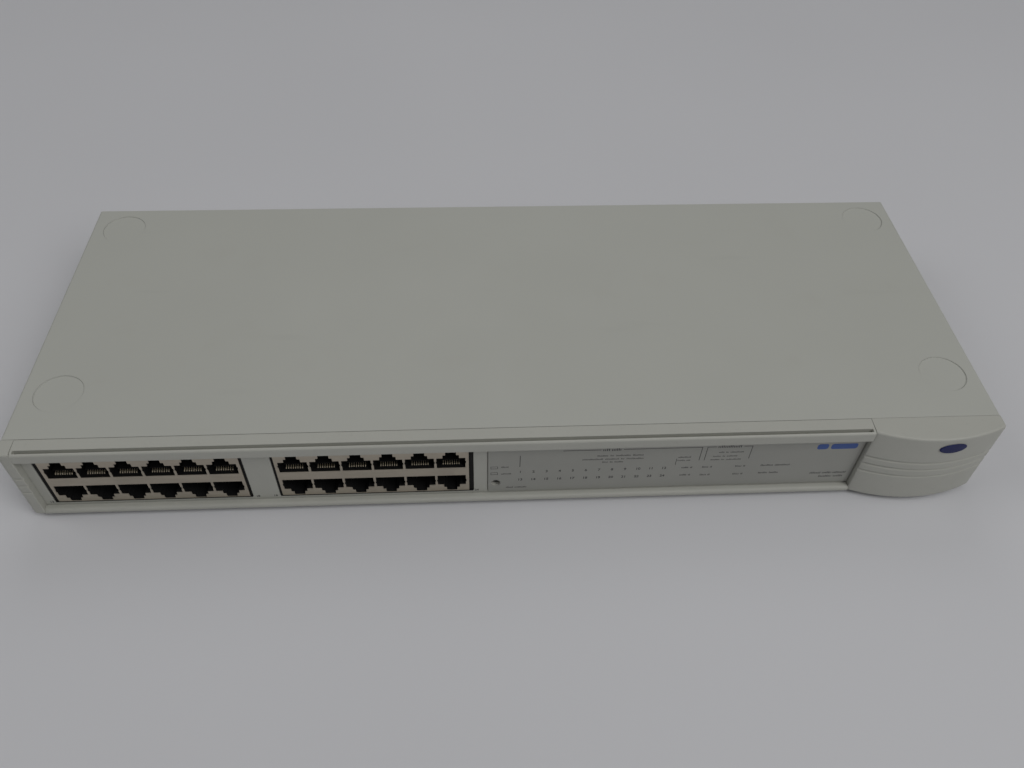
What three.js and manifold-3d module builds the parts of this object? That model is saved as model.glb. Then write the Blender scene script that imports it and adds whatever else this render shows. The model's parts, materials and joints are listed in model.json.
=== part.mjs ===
// A 24-port network switch for a 19-inch rack, one rack unit high.
//
// Millimetres, +Z up, the ports face -Y. The origin is the middle of the footprint, on the surface
// that the rubber feet stand on. Every piece is drawn in case coordinates: X = 0 in the middle, Y = 0
// at the seam between the metal cover and the plastic front, Z = 0 at the underside of the case.

import * as THREE from "three";
import { mergeVertices } from "three/addons/utils/BufferGeometryUtils.js";
import Module from "manifold-3d";

const wasm = await Module();
wasm.setup();

// ---------------------------------------------------------------- driving dimensions

const CASE_WIDTH = 440;
const CASE_HEIGHT = 44;
const COVER_DEPTH = 160;
const SHEET = 1;
const GAP = 0.3;
const HALF = CASE_WIDTH / 2;
const INNER_HALF = HALF - SHEET - GAP;

const FOOT_RADIUS = 10;
const FOOT_HEIGHT = 2.5;
const FOOT_X = 203;
const FOOT_Y = [26, 144];
const DIMPLE_RADIUS = FOOT_RADIUS + 0.9;
const DIMPLE_DEPTH = 0.5;

// Plastic front: depths are distances forward of the seam.
const FRONT_DEPTH = 8.5;
const SEAM_GAP = 0.25;
const RECESS_FLOOR = 5;
const RECESS_BOTTOM = 2.8;
const RECESS_TOP = 37.8;
const PANEL_WALL = 2;
const LEFT_CAP_WIDTH = 6;
const RIGHT_CAP_WIDTH = 60;
const FASCIA_LEFT = -HALF + LEFT_CAP_WIDTH;
const FASCIA_RIGHT = HALF - RIGHT_CAP_WIDTH;
const WEDGE_DEPTH = 13.5;
const WEDGE_RADIUS = 75;
const WEDGE_CREST_X = 188;
const BADGE_X = 195;
const BADGE_Z = 37.6;
const BADGE_RISE = 0.5;
const RIB_GROOVE_Z = [16.8, 21.8, 26.8];
const RIB_GROOVE_WIDTH = 1.5;
const RIB_GROOVE_DEPTH = 0.9;

// Modular jacks: two blocks of two rows of six.
const BLOCK_X = [-164.4, -63.6];
const SIDE_NAMES = ["left", "right"];
const COLUMNS = 6;
const JACK_PITCH = 14;
const JACK_WIDTH = 12.9;
const JACK_HEIGHT = 7.1;
const STEP_WIDTHS = [7.3, 4.8];
const STEP_HEIGHT = 2.1;
const UPPER_FLOOR = 22.5;
const LOWER_CEILING = 16.7;
const BLOCK_BOTTOM = 5;
const BLOCK_TOP = 34.6;
const BLOCK_HALF = 43;
const BLOCK_FACE = 5.2;
const BLOCK_LENGTH = 24;
const CAVITY_LENGTH = 15;
const WINDOW_X = [[-209.4, -120.1], [-107.9, -18.5]];
const WINDOW_Z = [BLOCK_BOTTOM - 0.9, BLOCK_TOP + 0.8];

// Printed display area, indicator lights and the push button.
const OVERLAY_LEFT = -11.9;
const OVERLAY_THICKNESS = 0.35;
const LIGHTS_X = [0.4, 129.6];
const LIGHTS_Z = [11, 19.4];
const BUTTON_X = -8.4;
const BUTTON_Z = 10.1;
const BUTTON_RADIUS = 1.85;
const BUTTON_HOLE_RADIUS = 2.1;
const BUTTON_FRONT = 3.1;

// Boards and what stands on them.
const BOARD_BOTTOM = 2.8;
const BOARD_THICKNESS = 1.6;
const BOARD_TOP = BOARD_BOTTOM + BOARD_THICKNESS;

// Rear panel.
const REAR_OUTER = COVER_DEPTH - GAP;
const REAR_INNER = REAR_OUTER - SHEET;
const INLET_X = 175;
const INLET_Z = 20;
const CONSOLE_X = 62;
const CONSOLE_Z = 20;
const PLATE_X = [-152, -42];
const PLATE_Z = [4.5, 38.5];
const KNOB_REACH = 6.5;
const KNOB_RADIUS = 4.5;

// Side fan.
const FAN_SIZE = 40;
const FAN_THICKNESS = 10;
const FAN_OUTER_X = HALF - SHEET * 2 - GAP * 3;
const FAN_Y = 106;
const FAN_Z = 22;
const FAN_BORE = 18.6;
const FAN_BLADES = 7;

const OVERALL_DEPTH = WEDGE_DEPTH + BADGE_RISE + COVER_DEPTH + KNOB_REACH;
const SEAM_Y = WEDGE_DEPTH + BADGE_RISE - OVERALL_DEPTH / 2;

// ---------------------------------------------------------------- solids

const X_AXIS = new THREE.Vector3(1, 0, 0);
const Y_AXIS = new THREE.Vector3(0, 1, 0);
const Z_AXIS = new THREE.Vector3(0, 0, 1);

// A closed manifold solid from any three.js geometry.
function solid(geometry) {
  const bare = geometry.clone();
  bare.deleteAttribute("normal");
  bare.deleteAttribute("uv");
  const merged = mergeVertices(bare, 1e-4);
  const vertProperties = new Float32Array(merged.attributes.position.array);
  const triVerts = new Uint32Array(merged.index.array);
  return new wasm.Manifold(new wasm.Mesh({ numProp: 3, vertProperties, triVerts }));
}

function join(pieces) {
  return pieces.reduce((whole, piece) => whole.add(piece));
}

function cut(body, tools) {
  return tools.reduce((rest, tool) => rest.subtract(tool), body);
}

// A box between two values on each axis.
function box([x0, x1], [y0, y1], [z0, z1]) {
  const geometry = new THREE.BoxGeometry(x1 - x0, y1 - y0, z1 - z0);
  return solid(geometry.translate((x0 + x1) / 2, (y0 + y1) / 2, (z0 + z1) / 2));
}

// A cylinder or cone along X, Y or Z, from the radius at the low end to the radius at the high end.
function rod(axis, [low, high], centre, radius, { endRadius = radius, sides = 24 } = {}) {
  const geometry = new THREE.CylinderGeometry(endRadius, radius, high - low, sides);
  const middle = new THREE.Vector3(...centre).addScaledVector(axis, (low + high) / 2);
  geometry.applyQuaternion(new THREE.Quaternion().setFromUnitVectors(Y_AXIS, axis));
  return solid(geometry.translate(middle.x, middle.y, middle.z));
}

function outline(points) {
  return new THREE.Shape(points.map(([u, v]) => new THREE.Vector2(u, v)));
}

function extrude(shape, depth, options = {}) {
  return new THREE.ExtrudeGeometry(shape, { depth, bevelEnabled: false, ...options });
}

// A (y, z) outline swept along X.
function sweepX(points, [x0, x1]) {
  const turn = new THREE.Matrix4().makeBasis(Y_AXIS, Z_AXIS, X_AXIS);
  return solid(extrude(outline(points), x1 - x0).applyMatrix4(turn).translate(x0, 0, 0));
}

// An (x, z) outline swept along Y.
function sweepY(points, [y0, y1]) {
  return solid(extrude(outline(points), y1 - y0).rotateX(Math.PI / 2).translate(0, y1, 0));
}

// A rectangular plate across Y, pierced by (x, z) outlines.
function piercedPlate(x, y, z, holes) {
  return cut(box(x, y, z), holes.map((points) => sweepY(points, [y[0] - 1, y[1] + 1])));
}

// An (x, y) outline swept along Z.
function sweepZ(points, [z0, z1]) {
  return solid(extrude(outline(points), z1 - z0).translate(0, 0, z0));
}

// Points of a circular arc from one angle to another, in radians.
function arc(cx, cy, radius, from, to, steps) {
  return Array.from({ length: steps + 1 }, (_, i) => {
    const angle = from + ((to - from) * i) / steps;
    return [cx + radius * Math.cos(angle), cy + radius * Math.sin(angle)];
  });
}

// ---------------------------------------------------------------- materials

function finish(color, roughness, metalness = 0) {
  return new THREE.MeshStandardMaterial({ color, roughness, metalness });
}

const paintedSteel = finish(0x8a8c85, 0.6, 0.1);
const zincSteel = finish(0xa9aba8, 0.4, 0.9);
const greyPlastic = finish(0x80827a, 0.62);
const overlayFilm = finish(0x67686a, 0.5);
const badgeBlue = finish(0x202450, 0.35);
const jackBlack = finish(0x141414, 0.5);
const jackShield = finish(0x9a9184, 0.35, 0.9);
const contactGold = finish(0xc79a3c, 0.3, 1);
const clearAcrylic = finish(0xd8dcd8, 0.15);
const boardGreen = finish(0x1f5a34, 0.5);
const chipBlack = finish(0x1b1b1d, 0.6);
const aluminium = finish(0xb0b2b5, 0.4, 0.9);
const coreTape = finish(0x8c7a2c, 0.6);
const sleeveBlue = finish(0x1c2a4a, 0.4);
const glossBlack = finish(0x101010, 0.3);
const nickelPin = finish(0xbfbfb8, 0.3, 1);
const rubberBlack = finish(0x1c1c1c, 0.9);
const wireSleeve = finish(0x7a1c1c, 0.55);

const switchUnit = new THREE.Group();
const caseFrame = new THREE.Group();
caseFrame.position.set(0, SEAM_Y, FOOT_HEIGHT);
switchUnit.add(caseFrame);

function add(name, body, material, parent = caseFrame) {
  const { numProp, vertProperties, triVerts } = body.getMesh();
  const geometry = new THREE.BufferGeometry();
  geometry.setAttribute("position", new THREE.BufferAttribute(vertProperties, numProp));
  geometry.setIndex(new THREE.BufferAttribute(triVerts, 1));
  geometry.computeVertexNormals();
  const mesh = new THREE.Mesh(geometry, material);
  mesh.name = name;
  parent.add(mesh);
  return mesh;
}

// ---------------------------------------------------------------- sheet-metal case

// Cover screws sit in the lower corners of both sides; rack brackets take three holes near the front.
const COVER_SCREW_Y = [14, 148];
const COVER_SCREW_Z = 8;
const BRACKET_HOLES = [[30, 12], [30, 32], [44, 22]];
const FLANGE_HEIGHT = 13;

function baseTray() {
  const floor = box([-INNER_HALF, INNER_HALF], [0.5, REAR_OUTER], [0, SHEET]);
  const flanges = [-1, 1].map((side) => {
    const x = [side * INNER_HALF, side * (INNER_HALF - SHEET)].sort((a, b) => a - b);
    return box(x, [4, 156], [0, FLANGE_HEIGHT]);
  });
  const screwHoles = COVER_SCREW_Y.map((y) => {
    return rod(X_AXIS, [-HALF, HALF], [0, y, COVER_SCREW_Z], 1.8, { sides: 8 });
  });
  const [bracketY, bracketZ] = BRACKET_HOLES[0];
  const above = FLANGE_HEIGHT + 1;
  const bracketHole = box([-HALF, HALF], [bracketY - 2.2, bracketY + 2.2], [bracketZ - 2.2, above]);
  const fanOpening = box([INNER_HALF - 2, HALF], [FAN_Y - 19, FAN_Y + 19], [SHEET + 2, above]);
  return cut(join([floor, ...flanges]), [...screwHoles, bracketHole, fanOpening]);
}

function topCover() {
  const bend = 1.6;
  const crease = bend - SHEET;
  const inner = HALF - SHEET;
  const top = CASE_HEIGHT - SHEET;
  const profile = [
    [-HALF, 0],
    [-inner, 0],
    ...arc(-inner + crease, top - crease, crease, Math.PI, Math.PI / 2, 2),
    ...arc(inner - crease, top - crease, crease, Math.PI / 2, 0, 2),
    [inner, 0],
    [HALF, 0],
    ...arc(HALF - bend, CASE_HEIGHT - bend, bend, 0, Math.PI / 2, 4),
    ...arc(-HALF + bend, CASE_HEIGHT - bend, bend, Math.PI / 2, Math.PI, 4),
  ];
  const shell = sweepY(profile, [SEAM_GAP, COVER_DEPTH]);
  const throughSides = [...COVER_SCREW_Y.map((y) => [y, COVER_SCREW_Z, 3.3]),
    ...BRACKET_HOLES.map(([y, z]) => [y, z, 1.8])];
  const holes = throughSides.map(([y, z, radius]) => {
    return rod(X_AXIS, [-HALF - 1, HALF + 1], [0, y, z], radius, { sides: 12 });
  });
  return cut(shell, [...holes, ...footDimples(), ...fanSlots(), ...leftVents()]);
}

// Shallow round recesses in the top, one for each foot of a unit stacked above.
function footDimples() {
  const depth = [CASE_HEIGHT - DIMPLE_DEPTH, CASE_HEIGHT + 1];
  return [-FOOT_X, FOOT_X].flatMap((x) => {
    return FOOT_Y.map((y) => rod(Z_AXIS, depth, [x, y, 0], DIMPLE_RADIUS, { sides: 24 }));
  });
}

// Vertical slots over the fan, as long as a circle of its bore allows.
function fanSlots() {
  const pitch = 4;
  const width = 2.2;
  return Array.from({ length: 9 }, (_, i) => {
    const offset = (i - 4) * pitch;
    const reach = Math.sqrt(FAN_BORE ** 2 - offset ** 2);
    const y = FAN_Y + offset;
    return box([HALF - 2, HALF + 1], [y - width / 2, y + width / 2], [FAN_Z - reach, FAN_Z + reach]);
  });
}

// Two groups of vertical air slots in the left side.
function leftVents() {
  const slots = [];
  for (const start of [62, 104]) {
    for (let i = 0; i < 8; i++) {
      const y = start + i * 4;
      slots.push(box([-HALF - 1, -HALF + 2], [y, y + 2.2], [16, 34]));
    }
  }
  return slots;
}

// Windows for the jack blocks, the light guide and the button in a wall behind the plastic front.
function frontBulkhead() {
  const wall = box([-INNER_HALF, INNER_HALF], [0.5, 0.5 + SHEET], [SHEET + GAP, CASE_HEIGHT - SHEET - GAP]);
  const lip = box([-INNER_HALF + 6, INNER_HALF - 6], [0.5, 8], [SHEET + GAP, SHEET * 2 + GAP]);
  const through = [-1, 3];
  const windows = WINDOW_X.map(([left, right]) => box([left - GAP, right + GAP], through, WINDOW_Z));
  const lights = box([LIGHTS_X[0] - GAP, LIGHTS_X[1] + GAP], through, [4, LIGHTS_Z[1] + GAP]);
  const button = rod(Y_AXIS, through, [BUTTON_X, 0, BUTTON_Z], 2.3, { sides: 16 });
  return cut(join([wall, lip]), [...windows, lights, button]);
}

function rearPanel() {
  const z = [SHEET + GAP, CASE_HEIGHT - SHEET - GAP];
  const wall = box([-INNER_HALF, INNER_HALF], [REAR_INNER, REAR_OUTER], z);
  const lip = box([-INNER_HALF + 6, INNER_HALF - 6], [REAR_OUTER - 8, REAR_OUTER], [z[0], z[0] + SHEET]);
  const through = [REAR_INNER - 1, REAR_OUTER + 1];
  const inlet = box([INLET_X - 13.8, INLET_X + 13.8], through, [INLET_Z - 10.3, INLET_Z + 10.3]);
  const console = box([CONSOLE_X - 10, CONSOLE_X + 10], through, [CONSOLE_Z - 5.5, CONSOLE_Z + 5.5]);
  const bay = box([PLATE_X[0] + 8, PLATE_X[1] - 8], through, [PLATE_Z[0] + 2, PLATE_Z[1] - 2]);
  const screws = thumbscrewX().map((x) => rod(Y_AXIS, through, [x, 0, thumbscrewZ()], 1.8, { sides: 12 }));
  const jackscrews = [-12.5, 12.5].map((dx) => {
    return rod(Y_AXIS, through, [CONSOLE_X + dx, 0, CONSOLE_Z], 1.8, { sides: 12 });
  });
  const vents = Array.from({ length: 13 }, (_, i) => {
    const x = -18 + i * 4;
    return box([x, x + 2.2], through, [10, 34]);
  });
  return cut(join([wall, lip]), [inlet, console, bay, ...screws, ...jackscrews, ...vents]);
}

// A countersunk screw, flush with the side of the cover.
function coverScrew(side, y) {
  const outer = side * (HALF - 0.1);
  const inner = side * (HALF - 0.9);
  const tip = side * (HALF - 7);
  const at = [0, y, COVER_SCREW_Z];
  const head = rod(X_AXIS, [Math.min(outer, inner), Math.max(outer, inner)], at, 3, { sides: 12 });
  const shank = rod(X_AXIS, [Math.min(tip, inner), Math.max(tip, inner)], at, 1.4, { sides: 8 });
  const slotZ = [COVER_SCREW_Z - 0.4, COVER_SCREW_Z + 0.4];
  const slot = box([outer - 0.4, outer + 0.4], [y - 2.2, y + 2.2], slotZ);
  return cut(join([head, shank]), [slot]);
}

function foot(x, y) {
  const profile = [
    [0, -FOOT_HEIGHT],
    [FOOT_RADIUS - 0.6, -FOOT_HEIGHT],
    [FOOT_RADIUS, -FOOT_HEIGHT + 0.6],
    [FOOT_RADIUS, -0.2],
    [0, -0.2],
  ].map(([radius, z]) => new THREE.Vector2(radius, z));
  return solid(new THREE.LatheGeometry(profile, 24).rotateX(Math.PI / 2).translate(x, y, 0));
}

add("base_tray", baseTray(), zincSteel);
add("top_cover", topCover(), paintedSteel);
add("front_bulkhead", frontBulkhead(), zincSteel);
add("rear_panel", rearPanel(), paintedSteel);

let screwNumber = 0;
let footNumber = 0;
for (const side of [-1, 1]) {
  for (const y of COVER_SCREW_Y) {
    screwNumber += 1;
    add(`cover_screw_${screwNumber}`, coverScrew(side, y), zincSteel);
  }
  for (const y of FOOT_Y) {
    footNumber += 1;
    add(`rubber_foot_${footNumber}`, foot(side * FOOT_X, y), rubberBlack);
  }
}

// ---------------------------------------------------------------- plastic front

// Section of the fascia in (distance forward of the seam, height): a flat top, a rounded upper lip, a
// recessed panel and a low rounded ledge, hollow behind.
function fasciaSection() {
  const lipRound = arc(FRONT_DEPTH - 1.2, CASE_HEIGHT - 1.7, 1.2, Math.PI / 2, 0, 3);
  const ledgeRound = arc(FRONT_DEPTH - 1.1, RECESS_BOTTOM - 1.2, 1.1, Math.PI / 2, 0, 3);
  const hollow = RECESS_FLOOR - PANEL_WALL;
  return [
    [SEAM_GAP, CASE_HEIGHT],
    [6.6, CASE_HEIGHT],
    ...lipRound,
    [FRONT_DEPTH, RECESS_TOP + 0.5],
    [FRONT_DEPTH - 0.5, RECESS_TOP],
    [RECESS_FLOOR, RECESS_TOP],
    [RECESS_FLOOR, RECESS_BOTTOM + 0.6],
    [RECESS_FLOOR + 0.8, RECESS_BOTTOM],
    ...ledgeRound,
    [FRONT_DEPTH, 0.7],
    [FRONT_DEPTH - 0.7, 0],
    [SEAM_GAP, 0],
    [SEAM_GAP, PANEL_WALL],
    [hollow, PANEL_WALL],
    [hollow, CASE_HEIGHT - PANEL_WALL],
    [SEAM_GAP, CASE_HEIGHT - PANEL_WALL],
  ];
}

const SIDE_JOINT = 0.15;

function frontFascia() {
  const x = [FASCIA_LEFT + SIDE_JOINT, FASCIA_RIGHT - SIDE_JOINT];
  const body = sweepX(fasciaSection().map(([depth, z]) => [-depth, z]), x);
  const topGroove = box([x[0] + 1, x[1] - 1], [-7.4, -5.8], [CASE_HEIGHT - 3, CASE_HEIGHT + 1]);
  const through = [-FRONT_DEPTH, 0];
  const windows = WINDOW_X.map((x) => box(x, through, WINDOW_Z));
  const lights = box([LIGHTS_X[0] - GAP, LIGHTS_X[1] + GAP], through, [LIGHTS_Z[0] - GAP, LIGHTS_Z[1] + GAP]);
  const button = rod(Y_AXIS, through, [BUTTON_X, 0, BUTTON_Z], BUTTON_HOLE_RADIUS);
  return cut(body, [topGroove, ...windows, lights, button]);
}

// An end cap: a plan outline with softened top and bottom edges, cut square at the seam, hollow
// behind, with three fine grooves that run round its front and outer side.
function endCap(plan, hollow) {
  const soft = 0.8;
  const shape = outline(plan);
  const bevel = {
    bevelEnabled: true,
    bevelThickness: soft,
    bevelSize: soft,
    bevelOffset: -soft,
    bevelSegments: 1,
  };
  const body = solid(extrude(shape, CASE_HEIGHT - 2 * soft, bevel).translate(0, 0, soft));
  const square = box([-HALF - 1, HALF + 1], [-SEAM_GAP, 10], [-1, CASE_HEIGHT + 1]);
  const inset = { ...bevel, bevelThickness: 0.01, bevelSize: 0.01, bevelOffset: -RIB_GROOVE_DEPTH };
  const grooveY = [-WEDGE_DEPTH - 1, -SEAM_GAP - 1.5];
  const grooves = RIB_GROOVE_Z.map((z) => {
    const core = solid(extrude(shape, 3, inset).translate(0, 0, z - 1.5));
    const low = z - RIB_GROOVE_WIDTH / 2;
    const slab = box([-HALF - 1, HALF + 1], grooveY, [low, low + RIB_GROOVE_WIDTH]);
    return slab.subtract(core);
  });
  return cut(body, [square, ...grooves, hollow]);
}

const LEFT_CAP_PLAN = [
  [-HALF, 2],
  ...arc(-HALF + 3, -FRONT_DEPTH + 3, 3, Math.PI, Math.PI * 1.5, 5),
  [FASCIA_LEFT - SIDE_JOINT, -FRONT_DEPTH],
  [FASCIA_LEFT - SIDE_JOINT, 2],
];

const WEDGE_CENTRE_Y = WEDGE_RADIUS - WEDGE_DEPTH;

function wedgeY(x) {
  return WEDGE_CENTRE_Y - Math.sqrt(WEDGE_RADIUS ** 2 - (x - WEDGE_CREST_X) ** 2);
}

function wedgeAngle(x) {
  return Math.atan2(wedgeY(x) - WEDGE_CENTRE_Y, x - WEDGE_CREST_X);
}

const RIGHT_CAP_PLAN = [
  [FASCIA_RIGHT + SIDE_JOINT, 2],
  ...arc(WEDGE_CREST_X, WEDGE_CENTRE_Y, WEDGE_RADIUS, wedgeAngle(FASCIA_RIGHT + SIDE_JOINT),
    wedgeAngle(HALF - 1), 12),
  [HALF, wedgeY(HALF - 1) + 1],
  [HALF, 2],
];

// A thin oval plate that follows the curve of the right end cap.
function endBadge() {
  const width = 12.8;
  const height = 6.2;
  const from = wedgeAngle(BADGE_X - width / 2 - 1.5);
  const to = wedgeAngle(BADGE_X + width / 2 + 1.5);
  const sheet = [
    ...arc(WEDGE_CREST_X, WEDGE_CENTRE_Y, WEDGE_RADIUS + 0.15, from, to, 6),
    ...arc(WEDGE_CREST_X, WEDGE_CENTRE_Y, WEDGE_RADIUS + BADGE_RISE, to, from, 6),
  ];
  const oval = new THREE.CylinderGeometry(1, 1, 10, 28).scale(width / 2, 1, height / 2);
  oval.translate(BADGE_X, -WEDGE_DEPTH, BADGE_Z);
  return sweepZ(sheet, [BADGE_Z - height, BADGE_Z + height]).intersect(solid(oval));
}

const leftHollow = box([-HALF + 2, FASCIA_LEFT - 1.5], [-5, 1], [PANEL_WALL, CASE_HEIGHT - PANEL_WALL]);
const rightHollow = box([FASCIA_RIGHT + 3, HALF - 3], [-4.5, 1], [PANEL_WALL, CASE_HEIGHT - PANEL_WALL]);

add("front_fascia", frontFascia(), greyPlastic);
add("left_end_cap", endCap(LEFT_CAP_PLAN, leftHollow), greyPlastic);
add("right_end_cap", endCap(RIGHT_CAP_PLAN, rightHollow), greyPlastic);
add("end_badge", endBadge(), badgeBlue);

function displayOverlay() {
  const back = -RECESS_FLOOR - 0.05;
  const filmZ = [3.9, RECESS_TOP - 0.4];
  const film = box([OVERLAY_LEFT, FASCIA_RIGHT - 0.5], [back - OVERLAY_THICKNESS, back], filmZ);
  return film.subtract(rod(Y_AXIS, [-8, 0], [BUTTON_X, 0, BUTTON_Z], BUTTON_HOLE_RADIUS));
}

// Clear guide that carries light from the board to the display area, sawn into one pipe per light.
function lightGuide() {
  const face = -RECESS_FLOOR + 0.15;
  const section = [
    [face, LIGHTS_Z[0]],
    [face, LIGHTS_Z[1]],
    [8, LIGHTS_Z[1]],
    [11, LIGHTS_Z[1] - 3],
    [11, BOARD_TOP + 2.4],
    [6, BOARD_TOP + 2.4],
    [6, LIGHTS_Z[0]],
  ];
  const bar = sweepX(section, LIGHTS_X);
  const pipes = 20;
  const pitch = (LIGHTS_X[1] - LIGHTS_X[0]) / pipes;
  const saws = Array.from({ length: pipes - 1 }, (_, i) => {
    const x = LIGHTS_X[0] + (i + 1) * pitch;
    return box([x - 0.5, x + 0.5], [-6, 4], [LIGHTS_Z[0] - 1, LIGHTS_Z[1] + 1]);
  });
  return cut(bar, saws);
}

// Push button: a round cap, a stop flange behind the panel and a stem that reaches the switch.
function modeButton() {
  const at = [BUTTON_X, 0, BUTTON_Z];
  const panelBack = -RECESS_FLOOR + PANEL_WALL;
  const cap = rod(Y_AXIS, [-BUTTON_FRONT, panelBack + GAP + 0.4], at, BUTTON_RADIUS, { sides: 20 });
  const flange = rod(Y_AXIS, [panelBack + GAP, panelBack + GAP + 0.9], at, 2.7, { sides: 16 });
  const stem = rod(Y_AXIS, [panelBack + GAP + 0.4, 4.4], at, 1.1, { sides: 10 });
  return join([cap, flange, stem]);
}

function modeSwitch() {
  const x = [BUTTON_X - 3, BUTTON_X + 3];
  const housing = box(x, [6.2, 10], [BOARD_TOP + 0.2, BUTTON_Z + 3]);
  const plunger = rod(Y_AXIS, [5.7, 6.4], [BUTTON_X, 0, BUTTON_Z], 1.6, { sides: 14 });
  return join([housing, plunger]);
}

add("display_overlay", displayOverlay(), overlayFilm);
add("light_guide", lightGuide(), clearAcrylic);
add("mode_button", modeButton(), greyPlastic);
add("mode_switch_body", modeSwitch(), chipBlack);

// ---------------------------------------------------------------- jack blocks

// Opening of one jack in (x, z): a wide slot for the plug and two narrower steps for its latch.
function jackOutline(x, floor, up) {
  const [first, second] = STEP_WIDTHS.map((width) => width / 2);
  const wide = JACK_WIDTH / 2;
  const heights = [0, 1, 2].map((step) => floor + up * (JACK_HEIGHT + step * STEP_HEIGHT));
  return [
    [x - wide, floor],
    [x - wide, heights[0]],
    [x - first, heights[0]],
    [x - first, heights[1]],
    [x - second, heights[1]],
    [x - second, heights[2]],
    [x + second, heights[2]],
    [x + second, heights[1]],
    [x + first, heights[1]],
    [x + first, heights[0]],
    [x + wide, heights[0]],
    [x + wide, floor],
  ];
}

const JACK_ROWS = [
  { name: "upper", floor: UPPER_FLOOR, up: 1 },
  { name: "lower", floor: LOWER_CEILING, up: -1 },
];

function columnX(centre, column) {
  return centre + (column - (COLUMNS - 1) / 2) * JACK_PITCH;
}

function jackOutlines(centre) {
  return JACK_ROWS.flatMap(({ floor, up }) => {
    return Array.from({ length: COLUMNS }, (_, column) => jackOutline(columnX(centre, column), floor, up));
  });
}

// Housing: a block pierced by the jacks, with an open pocket behind for the contact carriers.
function portHousing(centre) {
  const front = -BLOCK_FACE + 0.7;
  const back = -BLOCK_FACE + BLOCK_LENGTH;
  const pocketFront = -BLOCK_FACE + CAVITY_LENGTH;
  const reach = BLOCK_HALF - 0.6;
  const x = [centre - reach, centre + reach];
  const z = [BLOCK_BOTTOM + 0.1, BLOCK_TOP - 0.6];
  const pocket = [
    [x[0] + 1, z[0] + 1],
    [x[1] - 1, z[0] + 1],
    [x[1] - 1, z[1] - 1],
    [x[0] + 1, z[1] - 1],
  ];
  const block = piercedPlate(x, [front, pocketFront], z, jackOutlines(centre));
  const skirt = piercedPlate(x, [pocketFront - 0.5, back], z, [pocket]);
  return join([block, cut(skirt, [box(x, [pocketFront - 1, pocketFront], z)])]);
}

// Plated shield: a front plate with the jack openings, and a fold over the top and both sides that
// sits just inside the plate's edge.
function portShield(centre) {
  const front = -BLOCK_FACE;
  const back = front + BLOCK_LENGTH;
  const skin = 0.35;
  const reach = BLOCK_HALF - 0.05;
  const top = BLOCK_TOP - 0.05;
  const bottom = BLOCK_BOTTOM + 0.05;
  const plateX = [centre - BLOCK_HALF, centre + BLOCK_HALF];
  const plate = piercedPlate(plateX, [front, front + skin], [BLOCK_BOTTOM, BLOCK_TOP], jackOutlines(centre));
  const fold = [
    [-reach, bottom],
    [-reach + skin, bottom],
    [-reach + skin, top - skin],
    [reach - skin, top - skin],
    [reach - skin, bottom],
    [reach, bottom],
    [reach, top],
    [-reach, top],
  ].map(([x, z]) => [centre + x, z]);
  return join([plate, sweepY(fold, [front + skin / 2, back])]);
}

// Contact carrier of one row: a rear plate, a tongue along each jack's floor and a bank of spring
// contacts that rises from the tongue's front edge towards the back.
const BANK_HALF = 3.8;

function contactInsert(centre, { floor, up }) {
  const depth = (distance) => -BLOCK_FACE + distance;
  const height = (rise) => floor + up * rise;
  const span = (a, b) => [a, b].sort((p, q) => p - q);
  const reach = BLOCK_HALF - 2;
  const plateZ = span(height(-1.2), height(JACK_HEIGHT + STEP_HEIGHT + 1));
  const pieces = [box([centre - reach, centre + reach], [depth(CAVITY_LENGTH + 0.4), depth(18.5)], plateZ)];
  const section = [
    [depth(2.4), height(0.35)],
    [depth(11), height(2.25)],
    [depth(11), height(2.6)],
    [depth(2.4), height(0.95)],
  ];
  const bankSection = up > 0 ? section : section.reverse();
  for (let column = 0; column < COLUMNS; column++) {
    const x = columnX(centre, column);
    const tongueZ = span(height(0.15), height(0.75));
    pieces.push(box([x - 4.6, x + 4.6], [depth(2), depth(CAVITY_LENGTH + 1)], tongueZ));
    pieces.push(sweepX(bankSection, [x - BANK_HALF, x + BANK_HALF]));
  }
  return join(pieces);
}

// Black surround that closes the gap between a block and its window at both sides and below.
function blockSurround(centre, [left, right]) {
  const inner = BLOCK_HALF + 0.15;
  const bottom = WINDOW_Z[0] + 0.1;
  const top = BLOCK_TOP - 0.2;
  const outer = [
    [left + 0.1, bottom],
    [right - 0.1, bottom],
    [right - 0.1, top],
    [centre + inner, top],
    [centre + inner, BLOCK_BOTTOM - 0.1],
    [centre - inner, BLOCK_BOTTOM - 0.1],
    [centre - inner, top],
    [left + 0.1, top],
  ];
  return sweepY(outer, [-RECESS_FLOOR + 0.3, 0.3]);
}

BLOCK_X.forEach((centre, index) => {
  const side = SIDE_NAMES[index];
  add(`block_surround_${side}`, blockSurround(centre, WINDOW_X[index]), jackBlack);
  add(`port_housing_${side}`, portHousing(centre), jackBlack);
  add(`port_shield_${side}`, portShield(centre), jackShield);
  for (const row of JACK_ROWS) {
    add(`contact_insert_${side}_${row.name}`, contactInsert(centre, row), contactGold);
  }
});

// ---------------------------------------------------------------- boards

// Pressed-in standoffs under the boards: (x, y) of each.
const STANDOFFS = [[-205, 30], [-205, 140], [-20, 140], [112, 30], [112, 140], [150, 20]];
const MAIN_BOARD_X = [-214, 124];
const POWER_BOARD_X = [136, 200];

function board(x, y, standoffs) {
  const plate = box(x, y, [BOARD_BOTTOM, BOARD_TOP]);
  const holes = standoffs.map(([hx, hy]) => {
    return rod(Z_AXIS, [0, 10], [hx, hy, 0], 1.6, { sides: 8 });
  });
  return cut(plate, holes);
}

function standoff([x, y]) {
  const sleeve = rod(Z_AXIS, [SHEET + 0.05, BOARD_BOTTOM - 0.1], [x, y, 0], 3, { sides: 6 });
  const stud = rod(Z_AXIS, [BOARD_BOTTOM - 0.5, BOARD_TOP + 0.6], [x, y, 0], 1.3, { sides: 8 });
  return join([sleeve, stud]);
}

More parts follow.
